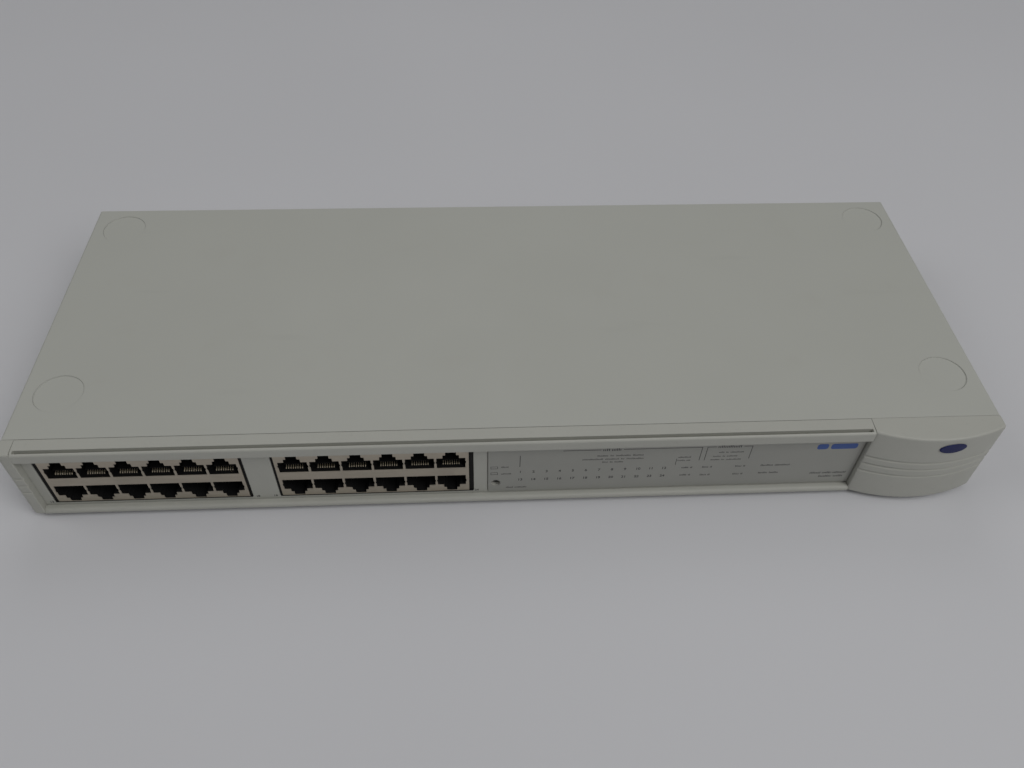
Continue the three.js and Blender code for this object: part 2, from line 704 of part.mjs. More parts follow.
add("main_board", board(MAIN_BOARD_X, [3, 146], STANDOFFS.slice(0, 5)), boardGreen);
add("power_board", board(POWER_BOARD_X, [12, 138], STANDOFFS.slice(5)), boardGreen);
STANDOFFS.forEach((at, i) => add(`board_standoff_${i + 1}`, standoff(at), zincSteel));

// A flat chip with a round pin-one mark, resting on the main board.
function chip(x, y, width, length, height) {
  const base = BOARD_TOP + 0.2;
  const body = box([x - width / 2, x + width / 2], [y - length / 2, y + length / 2], [base, base + height]);
  const corner = [x - width / 2 + 2.4, y - length / 2 + 2.4, 0];
  const notch = rod(Z_AXIS, [base + height - 0.4, base + height + 1], corner, 0.9, { sides: 6 });
  return body.subtract(notch);
}

// An extruded heatsink: a base plate with fins along Y.
function finnedHeatsink(x, y, z, width, length, height, fins) {
  const base = 2;
  const thickness = 1.2;
  const pitch = (width - thickness) / (fins - 1);
  const pieces = [box([x, x + width], [y, y + length], [z, z + base])];
  for (let i = 0; i < fins; i++) {
    const left = x + i * pitch;
    pieces.push(box([left, left + thickness], [y, y + length], [z + base - 0.5, z + height]));
  }
  return join(pieces);
}

add("switch_chip", chip(10, 84, 32, 32, 3.6), chipBlack);
add("chip_heatsink", finnedHeatsink(-4, 70, BOARD_TOP + 4.1, 28, 28, 11, 8), aluminium);
add("packet_memory", chip(58, 84, 18, 12, 2.4), chipBlack);
add("processor_chip", chip(-60, 100, 24, 24, 3.2), chipBlack);
BLOCK_X.forEach((centre, index) => {
  add(`magnetics_${SIDE_NAMES[index]}`, chip(centre, 36, 76, 14, 6.5), chipBlack);
});

// ---------------------------------------------------------------- power supply

function transformer() {
  const x = [148, 178];
  const y = [52, 78];
  const z = BOARD_TOP + 0.3;
  const bobbin = box([x[0] + 4, x[1] - 4], y, [z, z + 24]);
  const core = box(x, [y[0] + 7, y[1] - 7], [z + 2, z + 25]);
  const window = box([x[0] + 5, x[1] - 5], [y[0] + 8, y[1] - 8], [z + 26, z + 30]);
  return join([bobbin, core]).subtract(window);
}

function bulkCapacitor() {
  return rod(Y_AXIS, [86, 116], [160, 0, BOARD_TOP + 10.4], 10, { sides: 24 });
}

function powerHeatsink() {
  const x = [186, 196];
  const y = [60, 112];
  const z = BOARD_TOP + 0.3;
  const spine = box([x[0], x[0] + 2], y, [z, z + 28]);
  const fins = Array.from({ length: 5 }, (_, i) => {
    const low = z + 2 + i * 6;
    return box(x, y, [low, low + 1.4]);
  });
  return join([spine, ...fins]);
}

add("power_transformer", transformer(), coreTape);
add("bulk_capacitor", bulkCapacitor(), sleeveBlue);
add("power_heatsink", powerHeatsink(), aluminium);

// Low-voltage lead from the power board over to the main board, ending above each board.
function dcHarness() {
  const route = new THREE.CatmullRomCurve3([
    new THREE.Vector3(142, 30, BOARD_TOP + 3),
    new THREE.Vector3(138, 30, BOARD_TOP + 6),
    new THREE.Vector3(130, 32, BOARD_TOP + 7.5),
    new THREE.Vector3(120, 34, BOARD_TOP + 6),
    new THREE.Vector3(116, 34, BOARD_TOP + 3),
  ]);
  const section = outline(arc(0, 0, 2, 0, Math.PI * 1.75, 7));
  const geometry = new THREE.ExtrudeGeometry(section, { steps: 14, bevelEnabled: false, extrudePath: route });
  return solid(geometry);
}

add("dc_harness", dcHarness(), wireSleeve);

// ---------------------------------------------------------------- rear connectors

// Mains inlet: a flange outside the panel and a cup with two clipped corners inside it.
const INLET_FLANGE = [REAR_OUTER + 0.2, REAR_OUTER + 2.2];
const INLET_FLOOR = REAR_OUTER + 2.2 - 17;
const PIN_OFFSETS = { line: [-7, -2], earth: [0, 2.2], neutral: [7, -2] };

function inletOutline(halfWidth, halfHeight, clip) {
  return [
    [-halfWidth, -halfHeight],
    [halfWidth, -halfHeight],
    [halfWidth, halfHeight - clip],
    [halfWidth - clip, halfHeight],
    [-halfWidth + clip, halfHeight],
    [-halfWidth, halfHeight - clip],
  ].map(([x, z]) => [INLET_X + x, INLET_Z + z]);
}

function mainsInlet() {
  const flange = box([INLET_X - 16, INLET_X + 16], INLET_FLANGE, [INLET_Z - 12.2, INLET_Z + 12.2]);
  const cup = sweepY(inletOutline(13.5, 10, 4), [INLET_FLOOR - 2, INLET_FLANGE[1] - 0.5]);
  const mouth = sweepY(inletOutline(12, 8.3, 3.5), [INLET_FLOOR, INLET_FLANGE[1] + 1]);
  const slots = Object.values(PIN_OFFSETS).map(([dx, dz]) => {
    const x = INLET_X + dx;
    const z = INLET_Z + dz;
    return box([x - 1.2, x + 1.2], [INLET_FLOOR - 3, INLET_FLOOR + 1], [z - 2.2, z + 2.2]);
  });
  return cut(join([flange, cup]), [mouth, ...slots]);
}

function inletPin([dx, dz]) {
  const x = INLET_X + dx;
  const z = INLET_Z + dz;
  const blade = box([x - 1, x + 1], [INLET_FLOOR - 3.5, INLET_FLANGE[1] - 2.4], [z - 2, z + 2]);
  const tab = box([x - 0.4, x + 0.4], [INLET_FLOOR - 9, INLET_FLOOR - 3], [z - 2, z + 2]);
  return join([blade, tab]);
}

add("mains_inlet", mainsInlet(), glossBlack);
for (const [name, offset] of Object.entries(PIN_OFFSETS)) {
  add(`inlet_pin_${name}`, inletPin(offset), nickelPin);
}

// Nine-way console connector: a flange, a slant-sided shell and a jackscrew on each side.
function consolePort() {
  const flangeY = [REAR_OUTER + 0.2, REAR_OUTER + 1];
  const shape = (top, bottom, half) => [
    [-bottom, -half],
    [bottom, -half],
    [top, half],
    [-top, half],
  ].map(([x, z]) => [CONSOLE_X + x, CONSOLE_Z + z]);
  const flange = box([CONSOLE_X - 15.4, CONSOLE_X + 15.4], flangeY, [CONSOLE_Z - 6.2, CONSOLE_Z + 6.2]);
  const shell = sweepY(shape(8.4, 7, 3.9), [flangeY[0], REAR_OUTER + 6]);
  const rearBody = sweepY(shape(9.2, 8, 4.8), [REAR_OUTER - 10, flangeY[1]]);
  const contacts = [];
  for (let i = 0; i < 9; i++) {
    const upper = i < 5;
    const x = CONSOLE_X + (upper ? i - 2 : i - 6.5) * 2.76;
    const z = CONSOLE_Z + (upper ? 1.42 : -1.42);
    contacts.push(rod(Y_AXIS, [REAR_OUTER + 4, REAR_OUTER + 8], [x, 0, z], 0.55, { sides: 4 }));
  }
  return cut(join([flange, shell, rearBody]), contacts);
}

function jackscrew(dx) {
  const at = [CONSOLE_X + dx, 0, CONSOLE_Z];
  const nut = rod(Y_AXIS, [REAR_OUTER + 1.2, REAR_OUTER + 6], at, 2.7, { sides: 6 });
  const thread = rod(Y_AXIS, [REAR_INNER - 4, REAR_OUTER + 1.4], at, 1.3, { sides: 10 });
  const bore = rod(Y_AXIS, [REAR_OUTER + 3, REAR_OUTER + 7], at, 1.4, { sides: 12 });
  return cut(join([nut, thread]), [bore]);
}

function consoleWithScrewHoles() {
  const holes = [-12.5, 12.5].map((dx) => {
    return rod(Y_AXIS, [REAR_OUTER, REAR_OUTER + 1.1], [CONSOLE_X + dx, 0, CONSOLE_Z], 1.6, { sides: 12 });
  });
  return cut(consolePort(), holes);
}

add("console_port", consoleWithScrewHoles(), nickelPin);
add("console_jackscrew_left", jackscrew(-12.5), nickelPin);
add("console_jackscrew_right", jackscrew(12.5), nickelPin);

// Blanking plate over the expansion bay, held by two thumbscrews.
function thumbscrewX() {
  return [PLATE_X[0] + 4, PLATE_X[1] - 4];
}

function thumbscrewZ() {
  return (PLATE_Z[0] + PLATE_Z[1]) / 2;
}

const PLATE_Y = [REAR_OUTER + 0.2, REAR_OUTER + 1.4];

function blankingPlate() {
  const plate = box(PLATE_X, PLATE_Y, PLATE_Z);
  const rimX = [PLATE_X[0] + 9, PLATE_X[1] - 9];
  const rim = box(rimX, [REAR_INNER - 2, PLATE_Y[1] - 0.4], [PLATE_Z[0] + 3, PLATE_Z[1] - 3]);
  const dishZ = [PLATE_Z[0] + 4, PLATE_Z[1] - 4];
  const dish = box([rimX[0] + 1, rimX[1] - 1], [REAR_INNER - 3, PLATE_Y[0]], dishZ);
  const holes = thumbscrewX().map((x) => {
    return rod(Y_AXIS, [REAR_OUTER, REAR_OUTER + 2], [x, 0, thumbscrewZ()], 1.8, { sides: 12 });
  });
  return cut(join([plate, rim]), [dish, ...holes]);
}

// A thumbscrew with a coarse grip round its knob and a screwdriver slot.
function thumbscrew(x) {
  const end = COVER_DEPTH + KNOB_REACH;
  const start = PLATE_Y[1] + 0.2;
  const grip = [];
  const teeth = 14;
  for (let i = 0; i < teeth * 2; i++) {
    const angle = (i * Math.PI) / teeth;
    const radius = i % 2 ? KNOB_RADIUS - 0.5 : KNOB_RADIUS;
    grip.push([x + radius * Math.cos(angle), thumbscrewZ() + radius * Math.sin(angle)]);
  }
  const knob = sweepY(grip, [start, end]);
  const shank = rod(Y_AXIS, [REAR_INNER - 5, start + 0.5], [x, 0, thumbscrewZ()], 1.4, { sides: 12 });
  const slot = box([x - 5, x + 5], [end - 1, end + 1], [thumbscrewZ() - 0.5, thumbscrewZ() + 0.5]);
  return cut(join([knob, shank]), [slot]);
}

add("blanking_plate", blankingPlate(), paintedSteel);
thumbscrewX().forEach((x, i) => add(`thumbscrew_${SIDE_NAMES[i]}`, thumbscrew(x), nickelPin));

// ---------------------------------------------------------------- side fan

const FAN_X = [FAN_OUTER_X - FAN_THICKNESS, FAN_OUTER_X];
const HUB_RADIUS = 9;
const SHAFT_RADIUS = 1;

function fanFrame() {
  const half = FAN_SIZE / 2;
  const body = box(FAN_X, [FAN_Y - half, FAN_Y + half], [FAN_Z - half, FAN_Z + half]);
  const at = [0, FAN_Y, FAN_Z];
  const bore = rod(X_AXIS, [FAN_X[0] - 1, FAN_X[1] + 1], at, FAN_BORE, { sides: 32 });
  const corners = [-16, 16].flatMap((dy) => [-16, 16].map((dz) => {
    return rod(X_AXIS, [FAN_X[0] - 1, FAN_X[1] + 1], [0, FAN_Y + dy, FAN_Z + dz], 1.7, { sides: 8 });
  }));
  const strutX = [FAN_X[0], FAN_X[0] + 1.6];
  const motorPlate = rod(X_AXIS, strutX, at, HUB_RADIUS, { sides: 20 });
  const boss = rod(X_AXIS, [strutX[0], strutX[1] + 1.6], at, 2.4, { sides: 12 });
  const struts = [90, 210, 330].map((degrees) => {
    const strut = new THREE.BoxGeometry(1.6, 11, 2).translate(0, HUB_RADIUS + 5, 0);
    strut.rotateX(THREE.MathUtils.degToRad(degrees));
    return solid(strut.translate(strutX[0] + 0.8, FAN_Y, FAN_Z));
  });
  const bearing = rod(X_AXIS, [strutX[0] + 0.6, strutX[1] + 3], at, SHAFT_RADIUS + 0.08, { sides: 16 });
  return cut(join([cut(body, [bore, ...corners]), motorPlate, boss, ...struts]), [bearing]);
}

// Rotor: a cup-shaped hub on a shaft, with pitched blades round it.
function fanRotor() {
  const at = [0, FAN_Y, FAN_Z];
  const hubX = [FAN_X[0] + 2.2, FAN_X[1] - 0.6];
  const hub = rod(X_AXIS, hubX, at, HUB_RADIUS - 0.8, { sides: 24 });
  const hollow = rod(X_AXIS, [hubX[0] - 1, hubX[1] - 1.2], at, HUB_RADIUS - 2, { sides: 24 });
  const shaft = rod(X_AXIS, [FAN_X[0] + 1, hubX[1] - 0.5], at, SHAFT_RADIUS, { sides: 16 });
  const blades = Array.from({ length: FAN_BLADES }, (_, i) => {
    const reach = FAN_BORE - 0.8 - (HUB_RADIUS - 1.4);
    const blade = new THREE.BoxGeometry(7.4, reach, 0.9).rotateY(THREE.MathUtils.degToRad(38));
    blade.translate(0, HUB_RADIUS - 1.4 + reach / 2, 0);
    blade.rotateX((i * 2 * Math.PI) / FAN_BLADES);
    return solid(blade.translate((hubX[0] + hubX[1]) / 2, FAN_Y, FAN_Z));
  });
  const outer = rod(X_AXIS, hubX, at, FAN_BORE - 0.8, { sides: 32 });
  const vanes = cut(join(blades).intersect(outer), [hollow]);
  return join([hub.subtract(hollow), shaft, vanes]);
}

add("fan_frame", fanFrame(), jackBlack);
add("fan_rotor", fanRotor(), jackBlack);

export default switchUnit;
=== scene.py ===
"""A 24-port rack network switch: the visual model, built around its CAD frame.

Shapes are drawn in case millimetres: X = 0 in the middle, Y = 0 at the seam between the metal cover and
the plastic front with +Y to the rear, Z = 0 at the underside of the case. mesh_object() turns them into
metres in the row frame.
"""

import json
import math

import bmesh
import bpy
from mathutils import Matrix, Vector


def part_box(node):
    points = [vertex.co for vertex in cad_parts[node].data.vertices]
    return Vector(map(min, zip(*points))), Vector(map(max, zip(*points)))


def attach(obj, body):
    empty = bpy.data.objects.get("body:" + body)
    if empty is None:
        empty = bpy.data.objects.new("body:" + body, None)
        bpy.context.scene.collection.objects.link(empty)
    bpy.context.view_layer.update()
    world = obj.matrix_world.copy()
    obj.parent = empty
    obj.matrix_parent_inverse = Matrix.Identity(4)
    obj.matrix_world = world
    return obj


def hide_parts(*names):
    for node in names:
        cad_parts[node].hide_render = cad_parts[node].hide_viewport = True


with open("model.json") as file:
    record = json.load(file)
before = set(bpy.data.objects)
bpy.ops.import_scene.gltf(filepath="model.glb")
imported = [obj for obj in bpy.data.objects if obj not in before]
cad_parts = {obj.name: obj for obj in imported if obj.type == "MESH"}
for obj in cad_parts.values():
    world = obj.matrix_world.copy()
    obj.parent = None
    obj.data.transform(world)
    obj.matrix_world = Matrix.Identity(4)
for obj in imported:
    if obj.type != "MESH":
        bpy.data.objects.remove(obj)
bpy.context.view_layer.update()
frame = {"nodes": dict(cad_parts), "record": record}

MM = 0.001
# How far the cover lies behind the seam in the CAD, and how far the visible pieces keep from the seam.
SEAM_GAP = 0.25
SEAM_LINE = 0.1

# Where the case origin lies in the row frame.
CASE = Vector((0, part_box("top_cover")[0].y - SEAM_GAP * MM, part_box("base_tray")[0].z))


def to_row(x, y, z):
    """A point in case millimetres as a point of the row frame, in metres."""
    return CASE + Vector((x, y, z)) * MM


def cad_box(node):
    """The spans of a CAD node in case millimetres, along X, Y and Z."""
    low, high = (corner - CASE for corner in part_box(node))
    return [(low[axis] / MM, high[axis] / MM) for axis in range(3)]


def middle(span):
    return (span[0] + span[1]) / 2


def around(centre, half):
    """The span that reaches as far to both sides of a centre."""
    return (centre - half, centre + half)


# ---------------------------------------------------------------- dimensions

(_, HALF), (_, COVER_REAR), (_, CASE_TOP) = cad_box("top_cover")
SHEET = 1.0
COVER_BEND = 1.6
FOOT_CENTRES = [tuple(middle(span) for span in cad_box(f"rubber_foot_{i}")[:2]) for i in (1, 2, 3, 4)]
FOOT_RADIUS = 10.0
DIMPLE_RADIUS = FOOT_RADIUS + 0.9
DIMPLE_DEPTH = 0.5
SCREW_CENTRES = [tuple(middle(span) for span in cad_box(f"cover_screw_{i}")) for i in (1, 2, 3, 4)]
BRACKET_HOLES = [(30, 12), (30, 32), (44, 22)]
SLOT_PITCH = 4.0
SLOT_WIDTH = 2.2
SIDE_VENT_STARTS = (62, 104)
SIDE_VENT_Z = (16, 34)

FASCIA_X = cad_box("front_fascia")[0]
FRONT = -cad_box("front_fascia")[1][0]
RECESS_FLOOR = 5.0
RECESS_BOTTOM = 2.8
RECESS_TOP = 37.8
PANEL_WALL = 2.0
# The groove along the flat top, and the joint between the fascia and each end cap.
TOP_GROOVE_Y = (-7.4, -5.8)
TOP_GROOVE_DEPTH = 3.0
SIDE_JOINT = 0.1

WEDGE_DEPTH = -cad_box("right_end_cap")[1][0]
WEDGE_RADIUS = 75.0
WEDGE_CREST_X = 188.0
WEDGE_CENTRE_Y = WEDGE_RADIUS - WEDGE_DEPTH
GROOVE_Z = (16.8, 21.8, 26.8)
GROOVE_WIDTH = 1.5
GROOVE_DEPTH = 0.9

SIDES = ("left", "right")
BLOCK_X = [middle(cad_box(f"port_shield_{side}")[0]) for side in SIDES]
BLOCK_HALF = 43.0
_, (BLOCK_FACE, BLOCK_BACK), (BLOCK_BOTTOM, BLOCK_TOP) = cad_box("port_shield_left")
WINDOW_X = ((-209.4, -120.1), (-107.9, -18.5))
WINDOW_Z = (BLOCK_BOTTOM - 0.9, BLOCK_TOP + 0.8)
COLUMNS = 6
JACK_PITCH = 14.0
JACK_WIDTH = 12.9
JACK_HEIGHT = 7.1
STEP_WIDTHS = (7.3, 4.8)
STEP_HEIGHT = 2.1
# The floor of each row of jacks and the way up from it: the rows lie back to back.
ROWS = {"upper": (22.5, 1), "lower": (16.7, -1)}
CAVITY_LENGTH = 15.0

FILM_X, FILM_Y, FILM_Z = cad_box("display_overlay")
LIGHTS_X = (0.4, 129.6)
LIGHTS_Z = (11.0, 19.4)
BUTTON_X, _, BUTTON_Z = (middle(span) for span in cad_box("mode_button"))
BUTTON_HOLE_RADIUS = 2.1
BUTTON_RADIUS = 1.85

_, FAN_Y, FAN_Z = cad_box("fan_frame")
FAN_BORE = 18.6


# ---------------------------------------------------------------- shapes: (points, faces) in case mm

AXES = {
    "X": lambda u, v, w: (w, u, v),
    "Y": lambda u, v, w: (u, w, v),
    "Z": lambda u, v, w: (u, v, w),
}


def arc(cu, cv, radius, start, end, steps):
    """Points on a circular arc, with the angles in degrees."""
    angles = [math.radians(start + (end - start) * i / steps) for i in range(steps + 1)]
    return [(cu + radius * math.cos(a), cv + radius * math.sin(a)) for a in angles]


def loft(rings, closed=False):
    """A skin over rings of equal length. The ends get a face each, unless the last ring meets the first."""
    count = len(rings[0])
    points = [point for ring in rings for point in ring]
    faces = []
    for k in range(len(rings) if closed else len(rings) - 1):
        a, b = k * count, (k + 1) % len(rings) * count
        faces += [(a + i, a + (i + 1) % count, b + (i + 1) % count, b + i) for i in range(count)]
    if not closed:
        faces.append(tuple(range(count)))
        faces.append(tuple(range(len(points) - count, len(points))))
    return points, faces


def prism(outline, axis, span):
    """A flat outline swept along X, Y or Z."""
    return loft([[AXES[axis](u, v, w) for u, v in outline] for w in span])


def rectangle(u, v):
    return [(u[0], v[0]), (u[1], v[0]), (u[1], v[1]), (u[0], v[1])]


def box(x, y, z):
    return prism(rectangle(x, y), "Z", z)


def rounded(u, v, radius, steps=4):
    """The outline of a rectangle with round corners."""
    corners = [(u[1], v[1], 0), (u[0], v[1], 90), (u[0], v[0], 180), (u[1], v[0], 270)]
    inset = [(1, 1), (-1, 1), (-1, -1), (1, -1)]
    points = []
    for (cu, cv, start), (su, sv) in zip(corners, inset):
        points += arc(cu - su * radius, cv - sv * radius, radius, start, start + 90, steps)
    return points


def stadium(u, v, width):
    """The outline of a slot with round ends along v."""
    radius = width / 2
    return arc(u, v[1] - radius, radius, 0, 180, 5) + arc(u, v[0] + radius, radius, 180, 360, 5)


def turned(profile, axis, centre, steps=32):
    """A profile of (radius, place along the axis) turned round an axis through a centre."""
    rings = []
    for radius, along in profile:
        circle = arc(0, 0, max(radius, 0.001), 0, 360 * (steps - 1) / steps, steps - 1)
        ring = [Vector(AXES[axis](u, v, along)) + Vector(centre) for u, v in circle]
        rings.append([tuple(point) for point in ring])
    return loft(rings)


def tube(path, radius, sides=8):
    """A round wire along a path."""
    path = [Vector(point) for point in path]
    rings = []
    side = None
    for i, point in enumerate(path):
        ahead = (path[min(i + 1, len(path) - 1)] - path[max(i - 1, 0)]).normalized()
        if side is None:
            side = ahead.orthogonal().normalized()
        side = (side - ahead * side.dot(ahead)).normalized()
        up = ahead.cross(side)
        circle = arc(0, 0, radius, 0, 360 * (sides - 1) / sides, sides - 1)
        rings.append([tuple(point + side * u + up * v) for u, v in circle])
    return loft(rings)


def together(*shapes):
    """Several shapes as one."""
    points, faces = [], []
    for more_points, more_faces in shapes:
        start = len(points)
        points += list(more_points)
        faces += [tuple(start + i for i in face) for face in more_faces]
    return points, faces


# ---------------------------------------------------------------- objects

def new_object(name, data):
    obj = bpy.data.objects.new(name, data)
    bpy.context.scene.collection.objects.link(obj)
    return obj


def mesh_object(name, shape):
    """A shape as a mesh object in the row frame, with its faces turned outward."""
    points, faces = shape
    mesh = bpy.data.meshes.new(name)
    mesh.from_pydata([to_row(*point) for point in points], [], faces)
    clean = bmesh.new()
    clean.from_mesh(mesh)
    bmesh.ops.remove_doubles(clean, verts=clean.verts, dist=1e-7)
    bmesh.ops.recalc_face_normals(clean, faces=clean.faces)
    clean.to_mesh(mesh)
    clean.free()
    return new_object(name, mesh)


def apply_modifiers(obj):
    graph = bpy.context.evaluated_depsgraph_get()
    mesh = bpy.data.meshes.new_from_object(obj.evaluated_get(graph))
    obj.modifiers.clear()
    obj.data = mesh


def combine(obj, shape, operation, overlapping=False):
    """Joins a shape to an object, or cuts it away. Overlapping says that the shape crosses itself."""
    tool = mesh_object("tool", shape)
    modifier = obj.modifiers.new("boolean", "BOOLEAN")
    modifier.operation = operation
    modifier.solver = "EXACT"
    modifier.use_self = overlapping
    modifier.object = tool
    apply_modifiers(obj)
    bpy.data.objects.remove(tool)
    clean = bmesh.new()
    clean.from_mesh(obj.data)
    bmesh.ops.remove_doubles(clean, verts=clean.verts, dist=2e-6)
    bmesh.ops.dissolve_limit(clean, angle_limit=math.radians(0.4), verts=clean.verts, edges=clean.edges)
    clean.to_mesh(obj.data)
    clean.free()


def soften(obj, width, segments=2, angle=35):
    """Rounds the sharp edges and shades the rest smooth, with flat faces kept flat."""
    for polygon in obj.data.polygons:
        polygon.use_smooth = True
    if width:
        bevel = obj.modifiers.new("bevel", "BEVEL")
        bevel.width = width * MM
        bevel.segments = segments
        bevel.limit_method = "ANGLE"
        bevel.angle_limit = math.radians(angle)
        bevel.use_clamp_overlap = False
    normals = obj.modifiers.new("normals", "WEIGHTED_NORMAL")
    normals.keep_sharp = True
    normals.weight = 80


def piece(name, shape, slot, replaces=(), cuts=None, joins=None, bevel=0.0, segments=2, body="case",
          overlapping=False, material=None):
    """Makes one piece, finishes it and lets it ride on its body."""
    obj = mesh_object(name, shape)
    if joins:
        combine(obj, joins, "UNION", overlapping)
    if cuts:
        combine(obj, cuts, "DIFFERENCE", overlapping)
    if not bevel:
        obj.data.set_sharp_from_angle(angle=math.radians(35))
    soften(obj, bevel, segments)
    obj.data.materials.clear()
    obj.data.materials.append(material or MATERIALS[slot])
    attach(obj, body)
    if replaces:
        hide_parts(*replaces)
    return obj


# ---------------------------------------------------------------- materials

class Finish:
    """A procedural material: a Principled shader fed by noise in object coordinates, in metres."""

    def __init__(self, name, colour, roughness, metallic=0.0, **settings):
        self.material = bpy.data.materials.new(name)
        self.material.use_nodes = True
        self.tree = self.material.node_tree
        self.shader = self.tree.nodes["Principled BSDF"]
        self.set("Base Color", (*colour, 1))
        self.set("Roughness", roughness)
        self.set("Metallic", metallic)
        for socket, value in settings.items():
            self.set(socket.replace("_", " "), value)
        self.place = self.node("ShaderNodeTexCoord").outputs["Object"]
        self.height = None

    def set(self, socket, value):
        self.shader.inputs[socket].default_value = value

    def node(self, kind, **values):
        node = self.tree.nodes.new(kind)
        for key, value in values.items():
            setattr(node, key, value)
        return node

    def link(self, output, target):
        self.tree.links.new(output, target)

    def stretched(self, scale):
        """Object coordinates scaled apart along X, Y and Z."""
        mapping = self.node("ShaderNodeMapping")
        mapping.inputs["Scale"].default_value = scale
        self.link(self.place, mapping.inputs["Vector"])
        return mapping.outputs["Vector"]

    def noise(self, size, detail=2.0, stretch=None, seed=0.0):
        """Noise with features of about that size in millimetres."""
        noise = self.node("ShaderNodeTexNoise", noise_dimensions="4D")
        noise.inputs["Scale"].default_value = 1000 / size
        noise.inputs["Detail"].default_value = detail
        noise.inputs["W"].default_value = seed
        self.link(self.stretched(stretch) if stretch else self.place, noise.inputs["Vector"])
        return noise.outputs["Fac"]

    def ramp(self, value, low, high, start=0.0, end=1.0):
        """Maps a value from low..high to start..end, held at both ends."""
        spread = self.node("ShaderNodeMapRange")
        for socket, number in zip(("From Min", "From Max", "To Min", "To Max"), (low, high, start, end)):
            spread.inputs[socket].default_value = number
        self.link(value, spread.inputs["Value"])
        return spread.outputs["Result"]

    def tint(self, mask, colour, strength):
        """Mixes a colour in where the mask is high."""
        mix = self.node("ShaderNodeMix", data_type="RGBA")
        amount = self.ramp(mask, 0, 1, 0, strength)
        self.link(amount, mix.inputs["Factor"])
        base = self.shader.inputs["Base Color"]
        if base.is_linked:
            self.link(base.links[0].from_socket, mix.inputs["A"])
        else:
            mix.inputs["A"].default_value = base.default_value
        mix.inputs["B"].default_value = (*colour, 1)
        self.link(mix.outputs["Result"], base)

    def vary_roughness(self, mask, low, high):
        self.link(self.ramp(mask, 0.3, 0.7, low, high), self.shader.inputs["Roughness"])

    def bump(self, value, distance, strength=1.0):
        """Raises the surface by a value; several calls add up."""
        bump = self.node("ShaderNodeBump")
        bump.inputs["Distance"].default_value = distance * MM
        bump.inputs["Strength"].default_value = strength
        self.link(value, bump.inputs["Height"])
        if self.height:
            self.link(self.height, bump.inputs["Normal"])
        self.height = bump.outputs["Normal"]
        self.link(self.height, self.shader.inputs["Normal"])


def darker(colour, share):
    return tuple(channel * share for channel in colour)


def painted_steel():
    """Baked paint with a fine orange peel, faint handling smudges and a few hairline scuffs."""
    colour = (0.475, 0.480, 0.437)
    paint = Finish("cover_paint", colour, 0.5)
    paint.tint(paint.ramp(paint.noise(90, 3), 0.42, 0.7), darker(colour, 0.9), 0.2)
    paint.tint(paint.ramp(paint.noise(26, 4, seed=3.0), 0.6, 0.85), (0.40, 0.385, 0.33), 0.2)
    paint.tint(paint.ramp(paint.noise(9, 2, (0.12, 1, 1), 7.0), 0.68, 0.76), darker(colour, 0.8), 0.12)
    paint.vary_roughness(paint.noise(40, 4, seed=11.0), 0.42, 0.58)
    paint.bump(paint.noise(0.9, 2), 0.035, 0.6)
    return paint.material


def moulded_plastic(name, colour, roughness=0.55, grain=0.5, grime=0.3, **settings):
    """Moulded plastic: spark-eroded grain, a slightly uneven colour and a little grime."""
    plastic = Finish(name, colour, roughness, **settings)
    plastic.tint(plastic.ramp(plastic.noise(35, 3), 0.42, 0.7), darker(colour, 0.88), grime)
    plastic.tint(plastic.ramp(plastic.noise(2.5, 3, seed=5.0), 0.6, 0.8), darker(colour, 0.8), grime)
    plastic.vary_roughness(plastic.noise(6, 3, seed=2.0), roughness - 0.06, roughness + 0.08)
    plastic.bump(plastic.noise(grain, 2), 0.03, 0.7)
    return plastic.material


def printed_film():
    """Darker polycarbonate film with a fine velvet texture."""
    film = Finish("overlay_film", (0.345, 0.345, 0.315), 0.5)
    film.tint(film.ramp(film.noise(45, 2), 0.4, 0.7), (0.305, 0.305, 0.28), 0.5)
    film.vary_roughness(film.noise(12, 3), 0.42, 0.56)
    film.bump(film.noise(0.35, 1), 0.012, 0.6)
    return film.material


def plated_metal(name, colour, roughness, streak=(1, 1, 1), dull=0.25, size=3.0):
    """Plated or bare metal: streaks along the rolling direction, dull patches and fine scratches."""
    metal = Finish(name, colour, roughness, 1.0)
    metal.tint(metal.ramp(metal.noise(size, 4, streak), 0.35, 0.7), darker(colour, 0.7), dull)
    metal.tint(metal.ramp(metal.noise(size * 4, 2, seed=4.0), 0.5, 0.75), darker(colour, 0.6), dull)
    metal.vary_roughness(metal.noise(size * 0.6, 3, streak, 9.0), roughness - 0.06, roughness + 0.12)
    metal.bump(metal.noise(0.4, 2, streak), 0.006, 0.5)
    return metal.material


def spangled_zinc():
    """Zinc-plated sheet: soft crystal patches of slightly different brightness."""
    colour = (0.55, 0.56, 0.56)
    zinc = Finish("zinc_steel", colour, 0.38, 0.95)
    cells = zinc.node("ShaderNodeTexVoronoi")
    cells.inputs["Scale"].default_value = 260
    zinc.link(zinc.place, cells.inputs["Vector"])
    tone = zinc.node("ShaderNodeSeparateColor")
    zinc.link(cells.outputs["Color"], tone.inputs["Color"])
    zinc.tint(tone.outputs["Red"], darker(colour, 0.75), 0.5)
    zinc.vary_roughness(tone.outputs["Green"], 0.3, 0.46)
    zinc.bump(zinc.noise(1.2, 2), 0.01, 0.5)
    return zinc.material


